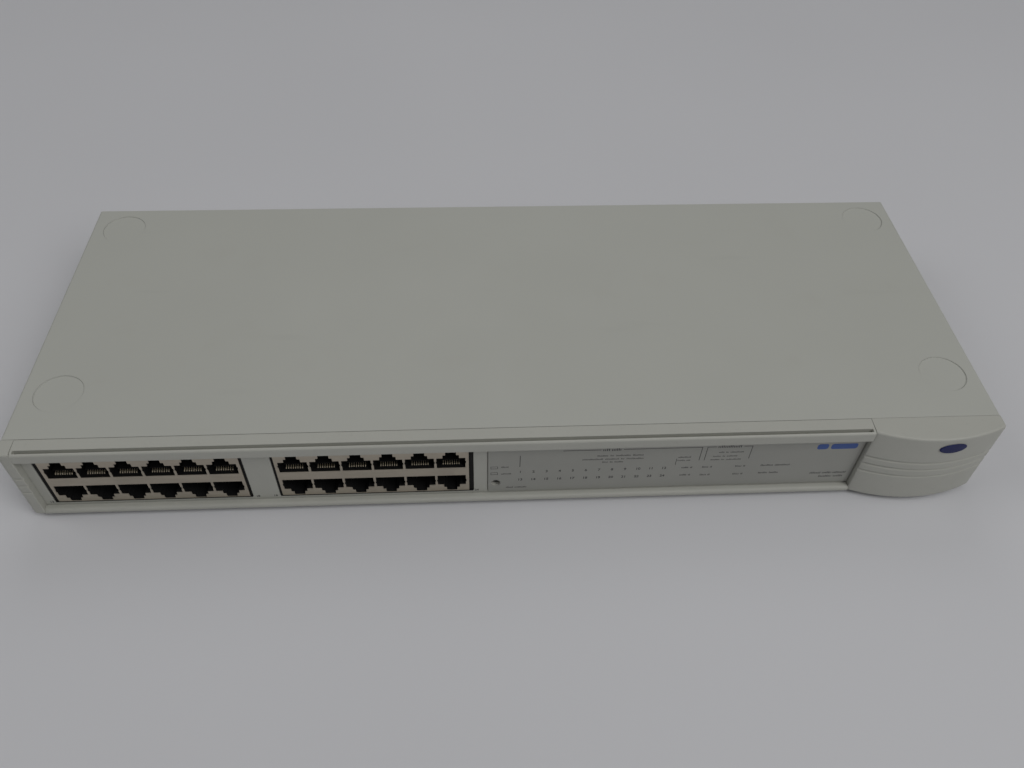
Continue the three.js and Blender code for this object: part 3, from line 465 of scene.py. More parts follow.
def circuit_board():
    """Green solder mask over copper tracks, which show as a faint raised grid of lines."""
    colour = (0.02, 0.13, 0.05)
    board = Finish("board_green", colour, 0.32)
    for stretch in ((1, 0.06, 1), (0.06, 1, 1)):
        tracks = board.ramp(board.noise(3.2, 1, stretch), 0.52, 0.56)
        board.tint(tracks, (0.045, 0.24, 0.08), 0.7)
        board.bump(tracks, 0.03, 0.6)
    pads = board.node("ShaderNodeTexVoronoi", feature="F1")
    pads.inputs["Scale"].default_value = 190
    board.link(board.place, pads.inputs["Vector"])
    board.tint(board.ramp(pads.outputs["Distance"], 0.16, 0.1), (0.5, 0.48, 0.42), 0.85)
    return board.material


def wound_core():
    """Yellow tape in overlapping turns round a ferrite core."""
    tape = Finish("core_tape", (0.52, 0.37, 0.05), 0.35)
    turns = tape.node("ShaderNodeTexWave", bands_direction="Y")
    turns.inputs["Scale"].default_value = 60
    turns.inputs["Distortion"].default_value = 0.6
    tape.link(tape.place, turns.inputs["Vector"])
    tape.tint(turns.outputs["Fac"], (0.33, 0.22, 0.03), 0.6)
    tape.bump(turns.outputs["Fac"], 0.08, 0.5)
    tape.vary_roughness(tape.noise(4, 2), 0.3, 0.45)
    return tape.material


def clear_acrylic():
    acrylic = Finish("clear_acrylic", (0.86, 0.89, 0.87), 0.08, IOR=1.49, Transmission_Weight=0.85)
    acrylic.tint(acrylic.ramp(acrylic.noise(8, 2), 0.5, 0.8), (0.7, 0.76, 0.72), 0.4)
    acrylic.bump(acrylic.noise(1.5, 1), 0.01, 0.4)
    return acrylic.material


def printing_ink(name, colour):
    """Screen-printed ink with a slightly broken edge to its tone."""
    ink = Finish(name, colour, 0.45)
    ink.tint(ink.ramp(ink.noise(0.8, 3), 0.5, 0.7), (0.14, 0.14, 0.13), 0.3)
    ink.bump(ink.noise(0.3, 1), 0.004, 0.4)
    return ink.material


def badge_enamel():
    """Deep blue satin enamel on a thin plate."""
    badge = Finish("badge_blue", (0.012, 0.016, 0.085), 0.5, Specular_IOR_Level=0.25)
    badge.tint(badge.ramp(badge.noise(3, 3), 0.45, 0.7), (0.016, 0.024, 0.115), 0.6)
    badge.bump(badge.noise(0.6, 2), 0.006, 0.4)
    return badge.material


def sleeve(name, colour, roughness):
    """Shrink sleeve or wire insulation, a little uneven."""
    skin = Finish(name, colour, roughness)
    skin.tint(skin.ramp(skin.noise(5, 3), 0.45, 0.75), darker(colour, 0.6), 0.6)
    skin.vary_roughness(skin.noise(3, 2, seed=3.0), roughness - 0.08, roughness + 0.1)
    skin.bump(skin.noise(1.2, 2), 0.02, 0.5)
    return skin.material


def rubber():
    """Black rubber with a powdery bloom."""
    skin = Finish("foot_rubber", (0.02, 0.02, 0.02), 0.8)
    skin.tint(skin.ramp(skin.noise(3, 4), 0.5, 0.8), (0.07, 0.068, 0.064), 0.5)
    skin.bump(skin.noise(0.5, 2), 0.05, 0.7)
    return skin.material


MATERIALS = {
    "cover_paint": painted_steel(),
    "bezel_plastic": moulded_plastic("bezel_plastic", (0.455, 0.455, 0.410)),
    "overlay_film": printed_film(),
    "badge_blue": badge_enamel(),
    "clear_acrylic": clear_acrylic(),
    "button_plastic": moulded_plastic("button_plastic", (0.05, 0.05, 0.05), 0.5),
    "zinc_steel": spangled_zinc(),
    "jack_black": moulded_plastic("jack_black", (0.010, 0.010, 0.010), 0.6, Specular_IOR_Level=0.15),
    "jack_shield": plated_metal("jack_shield", (0.50, 0.45, 0.37), 0.34, (0.15, 1, 1)),
    "contact_gold": plated_metal("contact_gold", (0.80, 0.70, 0.52), 0.32, size=1.0),
    "board_green": circuit_board(),
    "chip_epoxy": moulded_plastic("chip_epoxy", (0.02, 0.02, 0.022), 0.5, 0.3),
    "aluminium_fin": plated_metal("aluminium_fin", (0.62, 0.63, 0.65), 0.38, (1, 0.1, 1)),
    "core_tape": wound_core(),
    "capacitor_sleeve": sleeve("capacitor_sleeve", (0.02, 0.035, 0.12), 0.35),
    "wire_sleeve": sleeve("wire_sleeve", (0.25, 0.02, 0.02), 0.5),
    "inlet_black": moulded_plastic("inlet_black", (0.012, 0.012, 0.013), 0.32, 0.8),
    "nickel": plated_metal("nickel", (0.66, 0.64, 0.58), 0.26),
    "fan_plastic": moulded_plastic("fan_plastic", (0.016, 0.016, 0.017), 0.48),
    "foot_rubber": rubber(),
}
DARK_INK = printing_ink("dark_ink", (0.035, 0.035, 0.038))
BLUE_INK = printing_ink("blue_ink", (0.03, 0.085, 0.31))


# ---------------------------------------------------------------- sheet-metal case

def side_holes():
    """Countersinks for the cover screws and plain holes for the rack brackets, in both sides."""
    bracket_radius = 1.8
    holes = []
    for side in (-1, 1):
        for x, y, z in SCREW_CENTRES:
            if x * side > 0:
                flare = [(1.9, side * (HALF - 2)), (1.9, side * (HALF - 1)), (3.3, side * (HALF - 0.85)),
                         (3.4, side * (HALF + 1))]
                holes.append(turned(flare, "X", (0, y, z), 24))
        plain = [(bracket_radius, side * (HALF - 2)), (bracket_radius, side * (HALF + 1))]
        holes += [turned(plain, "X", (0, y, z), 20) for y, z in BRACKET_HOLES]
    return holes


def air_slots():
    """Vertical slots: a round field over the fan on the right, two groups on the left."""
    slots = []
    for i in range(-4, 5):
        reach = math.sqrt(FAN_BORE ** 2 - (i * SLOT_PITCH) ** 2)
        outline = stadium(middle(FAN_Y) + i * SLOT_PITCH, around(middle(FAN_Z), reach), SLOT_WIDTH)
        slots.append(prism(outline, "X", (HALF - 2, HALF + 1)))
    for start in SIDE_VENT_STARTS:
        for i in range(8):
            outline = stadium(start + i * SLOT_PITCH + SLOT_WIDTH / 2, SIDE_VENT_Z, SLOT_WIDTH)
            slots.append(prism(outline, "X", (-HALF - 1, -HALF + 2)))
    return slots


def top_cover():
    """Folded sheet with round bends, and a shallow recess for each foot of a unit on top."""
    inner = HALF - SHEET
    crease = COVER_BEND - SHEET
    top = CASE_TOP - SHEET
    outline = [(-HALF, 0), (-inner, 0)]
    outline += arc(-inner + crease, top - crease, crease, 180, 90, 5)
    outline += arc(inner - crease, top - crease, crease, 90, 0, 5)
    outline += [(inner, 0), (HALF, 0)]
    outline += arc(HALF - COVER_BEND, CASE_TOP - COVER_BEND, COVER_BEND, 0, 90, 10)
    outline += arc(-HALF + COVER_BEND, CASE_TOP - COVER_BEND, COVER_BEND, 90, 180, 10)
    dimple = [(DIMPLE_RADIUS - 0.25, CASE_TOP - DIMPLE_DEPTH), (DIMPLE_RADIUS - 0.1, CASE_TOP - 0.05),
              (DIMPLE_RADIUS, CASE_TOP), (DIMPLE_RADIUS, CASE_TOP + 1)]
    dimples = [turned(dimple, "Z", (x, y, 0), 96) for x, y in FOOT_CENTRES]
    cuts = together(*dimples, *side_holes(), *air_slots())
    piece("cover_shell", prism(outline, "Y", (SEAM_LINE, COVER_REAR)), "cover_paint", ["top_cover"], cuts,
          bevel=0.12)


def cover_screws():
    """Countersunk screws with a cross recess, flush with the cover."""
    for number, (x, y, z) in enumerate(SCREW_CENTRES, 1):
        side = math.copysign(1, x)
        profile = [(1.4, side * (HALF - 7)), (1.4, side * (HALF - 1.8)), (2.95, side * (HALF - 0.5)),
                   (3.0, side * (HALF - 0.3)), (2.8, side * (HALF - 0.1))]
        depth = sorted((side * (HALF - 0.9), side * (HALF + 1)))
        recess = []
        for half_y, half_z in ((1.7, 0.33), (0.33, 1.7)):
            recess.append(prism(rectangle(around(y, half_y), around(z, half_z)), "X", depth))
        piece(f"cross_screw_{number}", turned(profile, "X", (0, y, z), 32), "nickel",
              [f"cover_screw_{number}"], together(*recess), bevel=0.06, segments=1, overlapping=True)


def rubber_feet():
    """Moulded feet: a domed rim and a shallow dish underneath."""
    for number, (x, y) in enumerate(FOOT_CENTRES, 1):
        low, high = cad_box(f"rubber_foot_{number}")[2]
        r = FOOT_RADIUS
        profile = [(0.01, high), (r - 0.2, high), (r, high - 0.2), (r, low + 0.9)]
        profile += arc(r - 0.9, low + 0.9, 0.9, 0, -90, 5)[1:]
        profile += [(r - 3, low), (r - 3.4, low + 0.5), (0.01, low + 0.5)]
        piece(f"moulded_foot_{number}", turned(profile, "Z", (x, y, 0), 48), "foot_rubber",
              [f"rubber_foot_{number}"])


# ---------------------------------------------------------------- plastic front

def fascia_section():
    """The fascia's section in (Y, Z): flat top, rounded lip, recessed panel, ledge, and hollow behind."""
    top = CASE_TOP
    floor = -RECESS_FLOOR
    hollow = floor + PANEL_WALL
    section = [(-SEAM_LINE, top - 0.1), (-SEAM_LINE - 0.1, top)]
    section += arc(-FRONT + 1.2, top - 1.7, 1.2, 90, 180, 7)
    section[2] = (-FRONT + 1.7, top - 0.32)
    section += [(-FRONT, RECESS_TOP + 0.5)]
    section += arc(-FRONT + 0.45, RECESS_TOP + 0.45, 0.45, 180, 270, 4)
    section += [(floor - 0.3, RECESS_TOP), (floor, RECESS_TOP - 0.3), (floor, RECESS_BOTTOM - 0.5),
                (floor - 0.5, RECESS_BOTTOM - 0.5), (floor - 0.55, RECESS_BOTTOM)]
    section += arc(-FRONT + 1.6, RECESS_BOTTOM - 1.65, 1.6, 90, 180, 8)
    section += [(-FRONT, 0.6)] + arc(-FRONT + 0.6, 0.6, 0.6, 180, 270, 4)[1:]
    section += [(-SEAM_LINE, 0), (-SEAM_LINE, PANEL_WALL), (hollow, PANEL_WALL)]
    section += [(hollow, top - PANEL_WALL), (-SEAM_LINE, top - PANEL_WALL)]
    return section


def film_rebate():
    """A fine groove in the panel, all round the display film."""
    floor = -RECESS_FLOOR
    outer = rounded((FILM_X[0] - 0.4, FILM_X[1] + 0.2), (FILM_Z[0] - 0.4, FILM_Z[1] + 0.2), 1.4)
    inner = rounded((FILM_X[0] + 0.3, FILM_X[1] - 0.3), (FILM_Z[0] + 0.3, FILM_Z[1] - 0.3), 1.0)
    depths = ((outer, floor - 0.5), (outer, floor + 0.6), (inner, floor + 0.6), (inner, floor - 0.5))
    return loft([[(x, y, z) for x, z in outline] for outline, y in depths], closed=True)


def front_fascia():
    """The moulding between the end caps: a groove, two windows, a slot for the lights, a button hole."""
    x0, x1 = FASCIA_X
    groove = rectangle(TOP_GROOVE_Y, (CASE_TOP - TOP_GROOVE_DEPTH, CASE_TOP + 1))
    through = (-FRONT - 1, 1)
    cuts = [prism(groove, "X", (x0 + 1, x1 - 1)), film_rebate()]
    cuts += [prism(rounded(x, WINDOW_Z, 0.5, 3), "Y", through) for x in WINDOW_X]
    lights = rounded((LIGHTS_X[0] - 0.3, LIGHTS_X[1] + 0.3), (LIGHTS_Z[0] - 0.3, LIGHTS_Z[1] + 0.3), 0.5, 3)
    cuts.append(prism(lights, "Y", through))
    button_hole = [(BUTTON_HOLE_RADIUS, through[0]), (BUTTON_HOLE_RADIUS, through[1])]
    cuts.append(turned(button_hole, "Y", (BUTTON_X, 0, BUTTON_Z), 32))
    piece("fascia_moulding", prism(fascia_section(), "X", (x0, x1)), "bezel_plastic", ["front_fascia"],
          together(*cuts), bevel=0.12)


def edge_insets():
    """How far the outline of an end cap draws in at each height: round edges and three grooves.

    Each groove is undercut square at its top and runs out in a slope below.
    """
    soft = 1.1
    rounding = [(soft - soft * math.cos(math.radians(a)), soft - soft * math.sin(math.radians(a)))
                for a in range(0, 91, 15)]
    insets = list(rounding)
    for z in GROOVE_Z:
        low, high = z - GROOVE_WIDTH / 2, z + GROOVE_WIDTH / 2
        insets += [(low - 0.25, 0), (low - 0.05, 0.05), (high - 0.25, GROOVE_DEPTH),
                   (high - 0.08, GROOVE_DEPTH), (high - 0.02, 0.15), (high + 0.1, 0.02), (high + 0.2, 0)]
    insets += [(CASE_TOP - z, inset) for z, inset in reversed(rounding)]
    return insets


def left_cap_outline(inset):
    """The left end cap from above, in (X, Y): a round outer corner and a small chamfer at the fascia."""
    corner = 3
    outer = -HALF + inset
    front = -FRONT + inset
    inner = FASCIA_X[0] - SIDE_JOINT
    points = [(outer, -SEAM_LINE), (outer, -corner)]
    points += arc(-HALF + corner, -FRONT + corner, corner - inset, 180, 270, 8)
    return points + [(inner - 0.3, front), (inner, front + 0.3), (inner, -SEAM_LINE)]


def right_cap_outline(inset):
    """The right end cap from above, in (X, Y): a bowed crest and an eased outer corner."""
    radius = WEDGE_RADIUS - inset
    inner = FASCIA_X[1] + SIDE_JOINT
    outer = HALF - inset
    corner = 2.0
    start = math.degrees(math.asin((inner + 0.4 - WEDGE_CREST_X) / radius)) - 90
    end = math.degrees(math.asin((outer - corner - WEDGE_CREST_X) / radius)) - 90
    crest = arc(WEDGE_CREST_X, WEDGE_CENTRE_Y, radius, start, end, 48)
    last_x, last_y = crest[-1]
    points = [(inner, -SEAM_LINE), (inner, crest[0][1] + 0.4)] + crest
    for t in (0.35, 0.65, 0.85, 0.97, 1.0):
        fall = 0.2 * t + 0.8 * (1 - math.sqrt(1 - t * t))
        points.append((last_x + (outer - last_x) * t, last_y + corner * fall))
    return points + [(outer, -SEAM_LINE)]


def end_cap(name, outline, node, hollow_x, hollow_front):
    """One end cap: its outline at every height, hollowed from the rear."""
    hollow = box(hollow_x, (hollow_front, 1), (PANEL_WALL, CASE_TOP - PANEL_WALL))
    rings = [[(x, y, z) for x, y in outline(inset)] for z, inset in edge_insets()]
    piece(name, loft(rings), "bezel_plastic", [node], hollow)


def end_badge():
    """A plain domed oval plate that follows the curve of the right end cap."""
    (x0, x1), _, (z0, z1) = cad_box("end_badge")
    half_width, half_height = (x1 - x0) / 2, (z1 - z0) / 2
    # Share of the oval's size, and rise above the end cap: the back, the rim and then the dome.
    dome = ((0.02, 0.15), (1.0, 0.15), (1.0, 0.32), (0.97, 0.42), (0.9, 0.46), (0.6, 0.49), (0.02, 0.5))
    steps = 48
    rings = []
    for share, rise in dome:
        ring = []
        for u, v in arc(0, 0, share, 0, 360 * (steps - 1) / steps, steps - 1):
            x = middle((x0, x1)) + u * half_width
            y = WEDGE_CENTRE_Y - math.sqrt((WEDGE_RADIUS + rise) ** 2 - (x - WEDGE_CREST_X) ** 2)
            ring.append((x, y, middle((z0, z1)) + v * half_height))
        rings.append(ring)
    piece("oval_badge", loft(rings), "badge_blue", ["end_badge"])


def display_film():
    """The film over the display area, with a hole for the button."""
    radius = BUTTON_HOLE_RADIUS + 0.1
    hole = turned([(radius, FILM_Y[0] - 1), (radius, FILM_Y[1] + 1)], "Y", (BUTTON_X, 0, BUTTON_Z), 32)
    piece("display_film", prism(rounded(FILM_X, FILM_Z, 1.2), "Y", FILM_Y), "overlay_film",
          ["display_overlay"], hole, bevel=0.06, segments=1)


def push_button():
    """A round cap with a dished face and a soft rim."""
    (flange_left, _), (front, back), _ = cad_box("mode_button")
    flange = BUTTON_X - flange_left
    radius = BUTTON_RADIUS
    stop = front + 1.0
    profile = [(0.01, front + 0.42), (radius * 0.5, front + 0.35), (radius * 0.78, front + 0.14)]
    profile += [(radius * 0.88, front), (radius * 0.95, front + 0.03), (radius, front + 0.15)]
    profile += [(radius, stop), (flange, stop), (flange, stop + 0.8), (1.1, stop + 0.9), (1.1, back),
                (0.01, back)]
    piece("button_cap", turned(profile, "Y", (BUTTON_X, 0, BUTTON_Z), 40), "button_plastic",
          ["mode_button"], body="button")


# ---------------------------------------------------------------- jack blocks

def column_x(centre, column):
    return centre + (column - (COLUMNS - 1) / 2) * JACK_PITCH


def keyhole(x, floor, up, grow=0.0):
    """The opening of one jack in (X, Z): the plug's width, then two narrower steps for its latch."""
    halves = [JACK_WIDTH / 2 + grow] + [width / 2 + grow for width in STEP_WIDTHS]
    heights = [JACK_HEIGHT + grow, JACK_HEIGHT + STEP_HEIGHT + grow, JACK_HEIGHT + 2 * STEP_HEIGHT + grow]
    side = [(halves[0], -grow)]
    corner = 0.25
    for index, (half, height) in enumerate(zip(halves, heights)):
        side += [(half, height - corner), (half - 0.07, height - 0.07), (half - corner, height)]
        if index < 2:
            inner = halves[index + 1]
            side += [(inner + 0.15, height), (inner, height + 0.15)]
    outline = side + [(-u, v) for u, v in reversed(side)]
    return [(x + u, floor + up * v) for u, v in outline]


def side_notches(centre, y):
    """Small notches in both sides of every jack opening, each pair as one bar across it."""
    reach = JACK_WIDTH / 2 + 0.3
    notches = []
    for floor, up in ROWS.values():
        z = sorted((floor + up * 3.2, floor + up * 4.8))
        for column in range(COLUMNS):
            notches.append(box(around(column_x(centre, column), reach), y, z))
    return notches


def all_keyholes(centre, y, grow=0.0):
    return [prism(keyhole(column_x(centre, column), floor, up, grow), "Y", y)
            for floor, up in ROWS.values() for column in range(COLUMNS)]


def port_shield(side, centre):
    """Plated sheet: a pierced front, and a fold over the top and both sides."""
    skin = 0.35
    reach = BLOCK_HALF
    plate = prism(rounded(around(centre, reach), (BLOCK_BOTTOM, BLOCK_TOP), 0.35, 3), "Y",
                  (BLOCK_FACE, BLOCK_FACE + skin))
    through = around(BLOCK_FACE, 1)
    cuts = together(*all_keyholes(centre, through), *side_notches(centre, through))
    piece(f"shield_face_{side}", plate, "jack_shield", [f"port_shield_{side}"], cuts, bevel=0.07,
          segments=1, overlapping=True)
    inner = reach - skin
    corner = 0.5
    fold = [(-reach, BLOCK_BOTTOM), (-inner, BLOCK_BOTTOM), (-inner, BLOCK_TOP - skin),
            (inner, BLOCK_TOP - skin), (inner, BLOCK_BOTTOM), (reach, BLOCK_BOTTOM)]
    fold += arc(reach - corner, BLOCK_TOP - corner, corner, 0, 90, 4)
    fold += arc(-reach + corner, BLOCK_TOP - corner, corner, 90, 180, 4)
    wrap = prism([(centre + u, v) for u, v in fold], "Y", (BLOCK_FACE + skin, BLOCK_BACK))
    piece(f"shield_wrap_{side}", wrap, "jack_shield")


def port_housing(side, centre):
    """Black moulding behind the shield: the walls between the jacks and a back wall."""
    x, y, z = cad_box(f"port_housing_{side}")
    cuts = all_keyholes(centre, (y[0] - 1, BLOCK_FACE + CAVITY_LENGTH), 0.02)
    piece(f"jack_moulding_{side}", box(x, y, z), "jack_black", [f"port_housing_{side}"], together(*cuts),
          bevel=0.12)


def block_surround(side, centre):
    """Black moulding that closes the gap between a block and its window at both sides and below; its black
    is painted shade, standing in for the shaded open interior behind the gap.
    """
    inner = BLOCK_HALF + 0.15
    (x0, x1), y, (bottom, top) = cad_box(f"block_surround_{side}")
    outline = [(x0, bottom), (x1, bottom), (x1, top), (centre + inner, top),
               (centre + inner, BLOCK_BOTTOM - 0.1), (centre - inner, BLOCK_BOTTOM - 0.1),
               (centre - inner, top), (x0, top)]
    pitch = (x1 - x0 - 1.2) / 12
    slots = [box((x0 + 0.4 + i * pitch, x0 + 0.8 + i * pitch), (y[1] - 0.5, y[1] + 1),
                 (bottom - 1, BLOCK_BOTTOM)) for i in range(1, 12)]
    sill = box((x0 + 0.3, x1 - 0.3), (-RECESS_FLOOR - 0.12, y[0] + 0.5),
               (bottom + 0.02, BLOCK_BOTTOM - 0.12))
    # Painted shade: this black piece and its sill darken the gap where there would only be shade.
    piece(f"painted_shade_surround_{side}", prism(outline, "Y", y), "jack_black", [f"block_surround_{side}"],
          together(*slots), sill, bevel=0.06, segments=1)


CONTACTS = 8
CONTACT_PITCH = 1.02
# One contact wire in (depth behind the shield, rise from the floor): a hook, a sprung ramp and a tail.
CONTACT_PROFILE = ((3.4, 0.5), (2.2, 0.45), (1.7, 0.7), (1.9, 1.1), (2.9, 1.5), (4.6, 1.75), (8.0, 1.8),
                   (10.5, 2.8), (12.6, 3.6), (CAVITY_LENGTH - 0.1, 4.0))
COMB_HALF = 4.7


def contact_bank(side, centre, row):
    """Eight sprung wires in each jack of a row, over a moulded comb and under a hood."""
    floor, up = ROWS[row]

    def rise(low, high):
        return sorted((floor + up * low, floor + up * high))

    def depth(near, far):
        return (BLOCK_FACE + near, BLOCK_FACE + far)

    back = CAVITY_LENGTH + 0.1
    wires, comb = [], []
    for column in range(COLUMNS):
        x = column_x(centre, column)
        across = around(x, COMB_HALF)
        comb.append(box(across, depth(1.6, back), rise(0.02, 0.5)))
        comb.append(box(across, depth(2.9, 8.2), rise(2.1, 2.5)))
        for contact in range(CONTACTS):
            dx = (contact - (CONTACTS - 1) / 2) * CONTACT_PITCH
            path = [(x + dx, BLOCK_FACE + y, floor + up * z) for y, z in CONTACT_PROFILE]
            wires.append(tube(path, 0.2, 8))
            if contact:
                gap = x + dx - CONTACT_PITCH / 2
                comb.append(box(around(gap, 0.13), depth(9.0, back), rise(0.4, 4.4)))
    piece(f"spring_contacts_{side}_{row}", together(*wires), "contact_gold",
          [f"contact_insert_{side}_{row}"])
    piece(f"contact_comb_{side}_{row}", together(*comb), "jack_black")


# ---------------------------------------------------------------- printing

PRINT_RISE = 0.03
# How far the strokes of small print rise above the middle of their line, as a share of its height.
STROKE_TOPS = (0.5, 0.25, 0.25, 0.5, 0.2)


def bar(x, z, surface):
    """One printed stroke on a surface that faces forward."""
    return box(x, (surface - PRINT_RISE, surface + 0.01), z)


def small_print(x, z, size, surface, words):
    """A line of print that can't be read: upright strokes of uneven height, grouped in words."""
    height = size * 1.45
    pitch = height * 0.5
    space = 0.6
    share = (x[1] - x[0]) / (sum(words) + space * (len(words) - 1))
    strokes, start = [], x[0]
    for word in words:
        letters = max(2, round(word * share / pitch))
        for i in range(letters):
            left = start + i * word * share / letters
            top = STROKE_TOPS[(i * 3 + letters) % len(STROKE_TOPS)] * height
            strokes.append(bar((left, left + pitch * 0.5), (z - height / 2, z + top), surface))
        start += (word + space) * share
    return strokes


def number_shape(value, x, z, height, surface):
    """A printed number, as the outline of the built-in font turned into a mesh."""
    curve = bpy.data.curves.new("number", "FONT")
    curve.body = str(value)
    curve.size = height / 0.7
    curve.align_x = "CENTER"
    curve.align_y = "CENTER"
    curve.extrude = PRINT_RISE / 2
    curve.offset = 0.04
    curve.resolution_u = 3
    text = new_object("number", curve)
    graph = bpy.context.evaluated_depsgraph_get()
    mesh = bpy.data.meshes.new_from_object(text.evaluated_get(graph))
    points = [(x + v.co.x, surface - PRINT_RISE / 2 - v.co.z, z + v.co.y) for v in mesh.vertices]
    faces = [tuple(polygon.vertices) for polygon in mesh.polygons]
    bpy.data.objects.remove(text)
    bpy.data.curves.remove(curve)
    bpy.data.meshes.remove(mesh)
    return points, faces


# Thin rules on the film, as spans in X and Z.
RULES = (
    ((2.3, 2.6), (22.1, 30.3)), ((21.5, 38.6), (32.9, 33.2)), ((48.8, 84.4), (32.9, 33.2)),
    ((84.25, 84.55), (23.4, 33.2)), ((86.65, 86.95), (23.3, 33.2)), ((86.8, 90.8), (32.9, 33.2)),
    ((103.4, 107.4), (32.9, 33.2)), ((107.15, 107.45), (23.9, 33.2)), ((73.8, 74.05), (20.4, 25.0)),
)
# Small print: the span in X, the height of the line's middle, its size and the lengths of its words.
SMALL_PRINT = (
    ((39.5, 47.9), 33.0, 1.1, (3, 4)), ((91.6, 102.6), 33.1, 1.1, (5,)),
    ((37.3, 58.4), 28.7, 0.7, (3, 1, 4, 3)), ((30.7, 58.7), 26.2, 0.7, (6, 4, 1, 5)),
    ((39.9, 49.6), 24.0, 0.7, (2, 1, 3)), ((74.5, 80.5), 26.1, 0.6, (4,)),
    ((74.5, 80.5), 23.7, 0.6, (4, 2)), ((92.7, 104.2), 29.0, 0.6, (2, 1, 5)),
    ((90.5, 101.8), 26.1, 0.6, (3, 1, 4)), ((89.8, 104.0), 23.6, 0.6, (3, 1, 5)),
    ((77.3, 82.4), 18.2, 0.8, (3, 1)), ((77.3, 82.4), 12.5, 0.8, (3, 1)),
    ((86.9, 91.6), 18.2, 0.8, (3, 1)), ((86.9, 91.6), 12.2, 0.8, (3, 1)),
    ((102.4, 107.2), 18.2, 0.8, (3, 1)), ((102.4, 107.2), 12.2, 0.8, (3, 1)),
    ((114.4, 128.2), 18.3, 0.8, (5, 6)), ((114.5, 124.1), 12.5, 0.8, (4, 4)),
    ((139.5, 157.0), 11.2, 1.0, (5, 4, 6)), ((144.5, 156.2), 8.4, 1.0, (4, 3)),
    ((-6.0, -2.5), 22.2, 0.7, (3,)), ((-6.0, -1.2), 17.1, 0.7, (4,)), ((-3.6, 6.1), 6.5, 0.7, (3, 5)),
)


def key_symbols(surface):
    """Two small open rectangles near the film's left edge, drawn in four strokes each."""
    strokes = []
    for z in (21.8, 17.4):
        strokes += [bar((-10.8, -7.5), (z + dz, z + dz + 0.22), surface) for dz in (-0.85, 0.65)]
        strokes += [bar((x, x + 0.22), (z - 0.85, z + 0.87), surface) for x in (-10.8, -7.72)]
    return strokes


def display_print():
    """Port numbers, rules and small print on the film, and corner numbers beside the jack blocks."""
    film = FILM_Y[0]
    first, pitch, height = 2.8, 6.02, 1.6
    dark = []
    for i in range(12):
        for number, z in ((i + 1, 18.2), (i + 13, 12.3)):
            dark.append(number_shape(number, first + i * pitch, z, height, film))
    dark += [bar(x, z, film) for x, z in RULES]
    for x, z, size, words in SMALL_PRINT:
        dark += small_print(x, z, size, film, words)
    dark += key_symbols(film)
    piece("display_print", together(*dark), "overlay_film", material=DARK_INK)
    corners = []
    for centre, numbers in zip(BLOCK_X, ((1, 6, 13, 18), (7, 12, 19, 24))):
        for number, side, z in zip(numbers, (-1, 1, -1, 1), (35.2, 35.2, 4.6, 4.6)):
            x = centre + side * (BLOCK_HALF + 3.4)
            corners.append(number_shape(number, x, z, 1.3, -RECESS_FLOOR))
    piece("corner_numbers", together(*corners), "bezel_plastic", material=DARK_INK)
    bars = [prism(rounded(x, (29.2, 33.0), 1.2), "Y", (film - PRINT_RISE, film))
            for x in ((137.5, 142.7), (143.9, 156.2))]
    piece("blue_bars", together(*bars), "badge_blue", material=BLUE_INK)


# ---------------------------------------------------------------- inside

BOARD_TOP = cad_box("main_board")[2][1]


def gull_wing(reach, top):
    """Outline of one lead in (distance from the chip, height)."""
    thick = 0.16
    return [(0, top), (reach * 0.35, top), (reach * 0.6, thick), (reach, thick), (reach, 0),
            (reach * 0.5, 0), (reach * 0.25, top - thick), (0, top - thick)]


def chip_leads(x, y, pitch, four_sides):
    """Rows of leads along the long sides of a chip, or along all four."""
    width = pitch * 0.45
    leads = []
    outline = [(u, BOARD_TOP + 0.03 + v) for u, v in gull_wing(1.5, 1.1)]
    rows = [(y, "Y", x), (x, "X", y)]
    if not four_sides:
        rows = rows[1:] if x[1] - x[0] > y[1] - y[0] else rows[:1]
    for along, axis, across in rows:
        count = int((along[1] - along[0] - 2) / pitch)
        first = middle(along) - pitch * (count - 1) / 2
        for i in range(count):
            place = around(first + i * pitch, width / 2)
            for sign, edge in ((-1, across[0]), (1, across[1])):
                flat = [(edge + sign * u, v) for u, v in outline]
                leads.append(prism(flat, axis, place))
    return leads


def board_chip(node, pitch, four_sides):
    """A chip with a chamfered body, a pin-one dimple and formed leads."""
    x, y, z = cad_box(node)
    rim = 0.35
    rings = []
    for inset, height in ((rim, z[0]), (0, z[0] + 0.8), (0, z[0] + 1.0), (rim, z[1])):
        corners = rectangle((x[0] + inset, x[1] - inset), (y[0] + inset, y[1] - inset))
        rings.append([(cx, cy, height) for cx, cy in corners])
    dimple = turned([(0.9, z[1] - 0.3), (0.9, z[1] + 1)], "Z", (x[0] + 2.4, y[0] + 2.4, 0), 20)
    piece(f"{node}_body", loft(rings), "chip_epoxy", [node], dimple, bevel=0.08, segments=1)
    piece(f"{node}_leads", together(*chip_leads(x, y, pitch, four_sides)), "nickel")


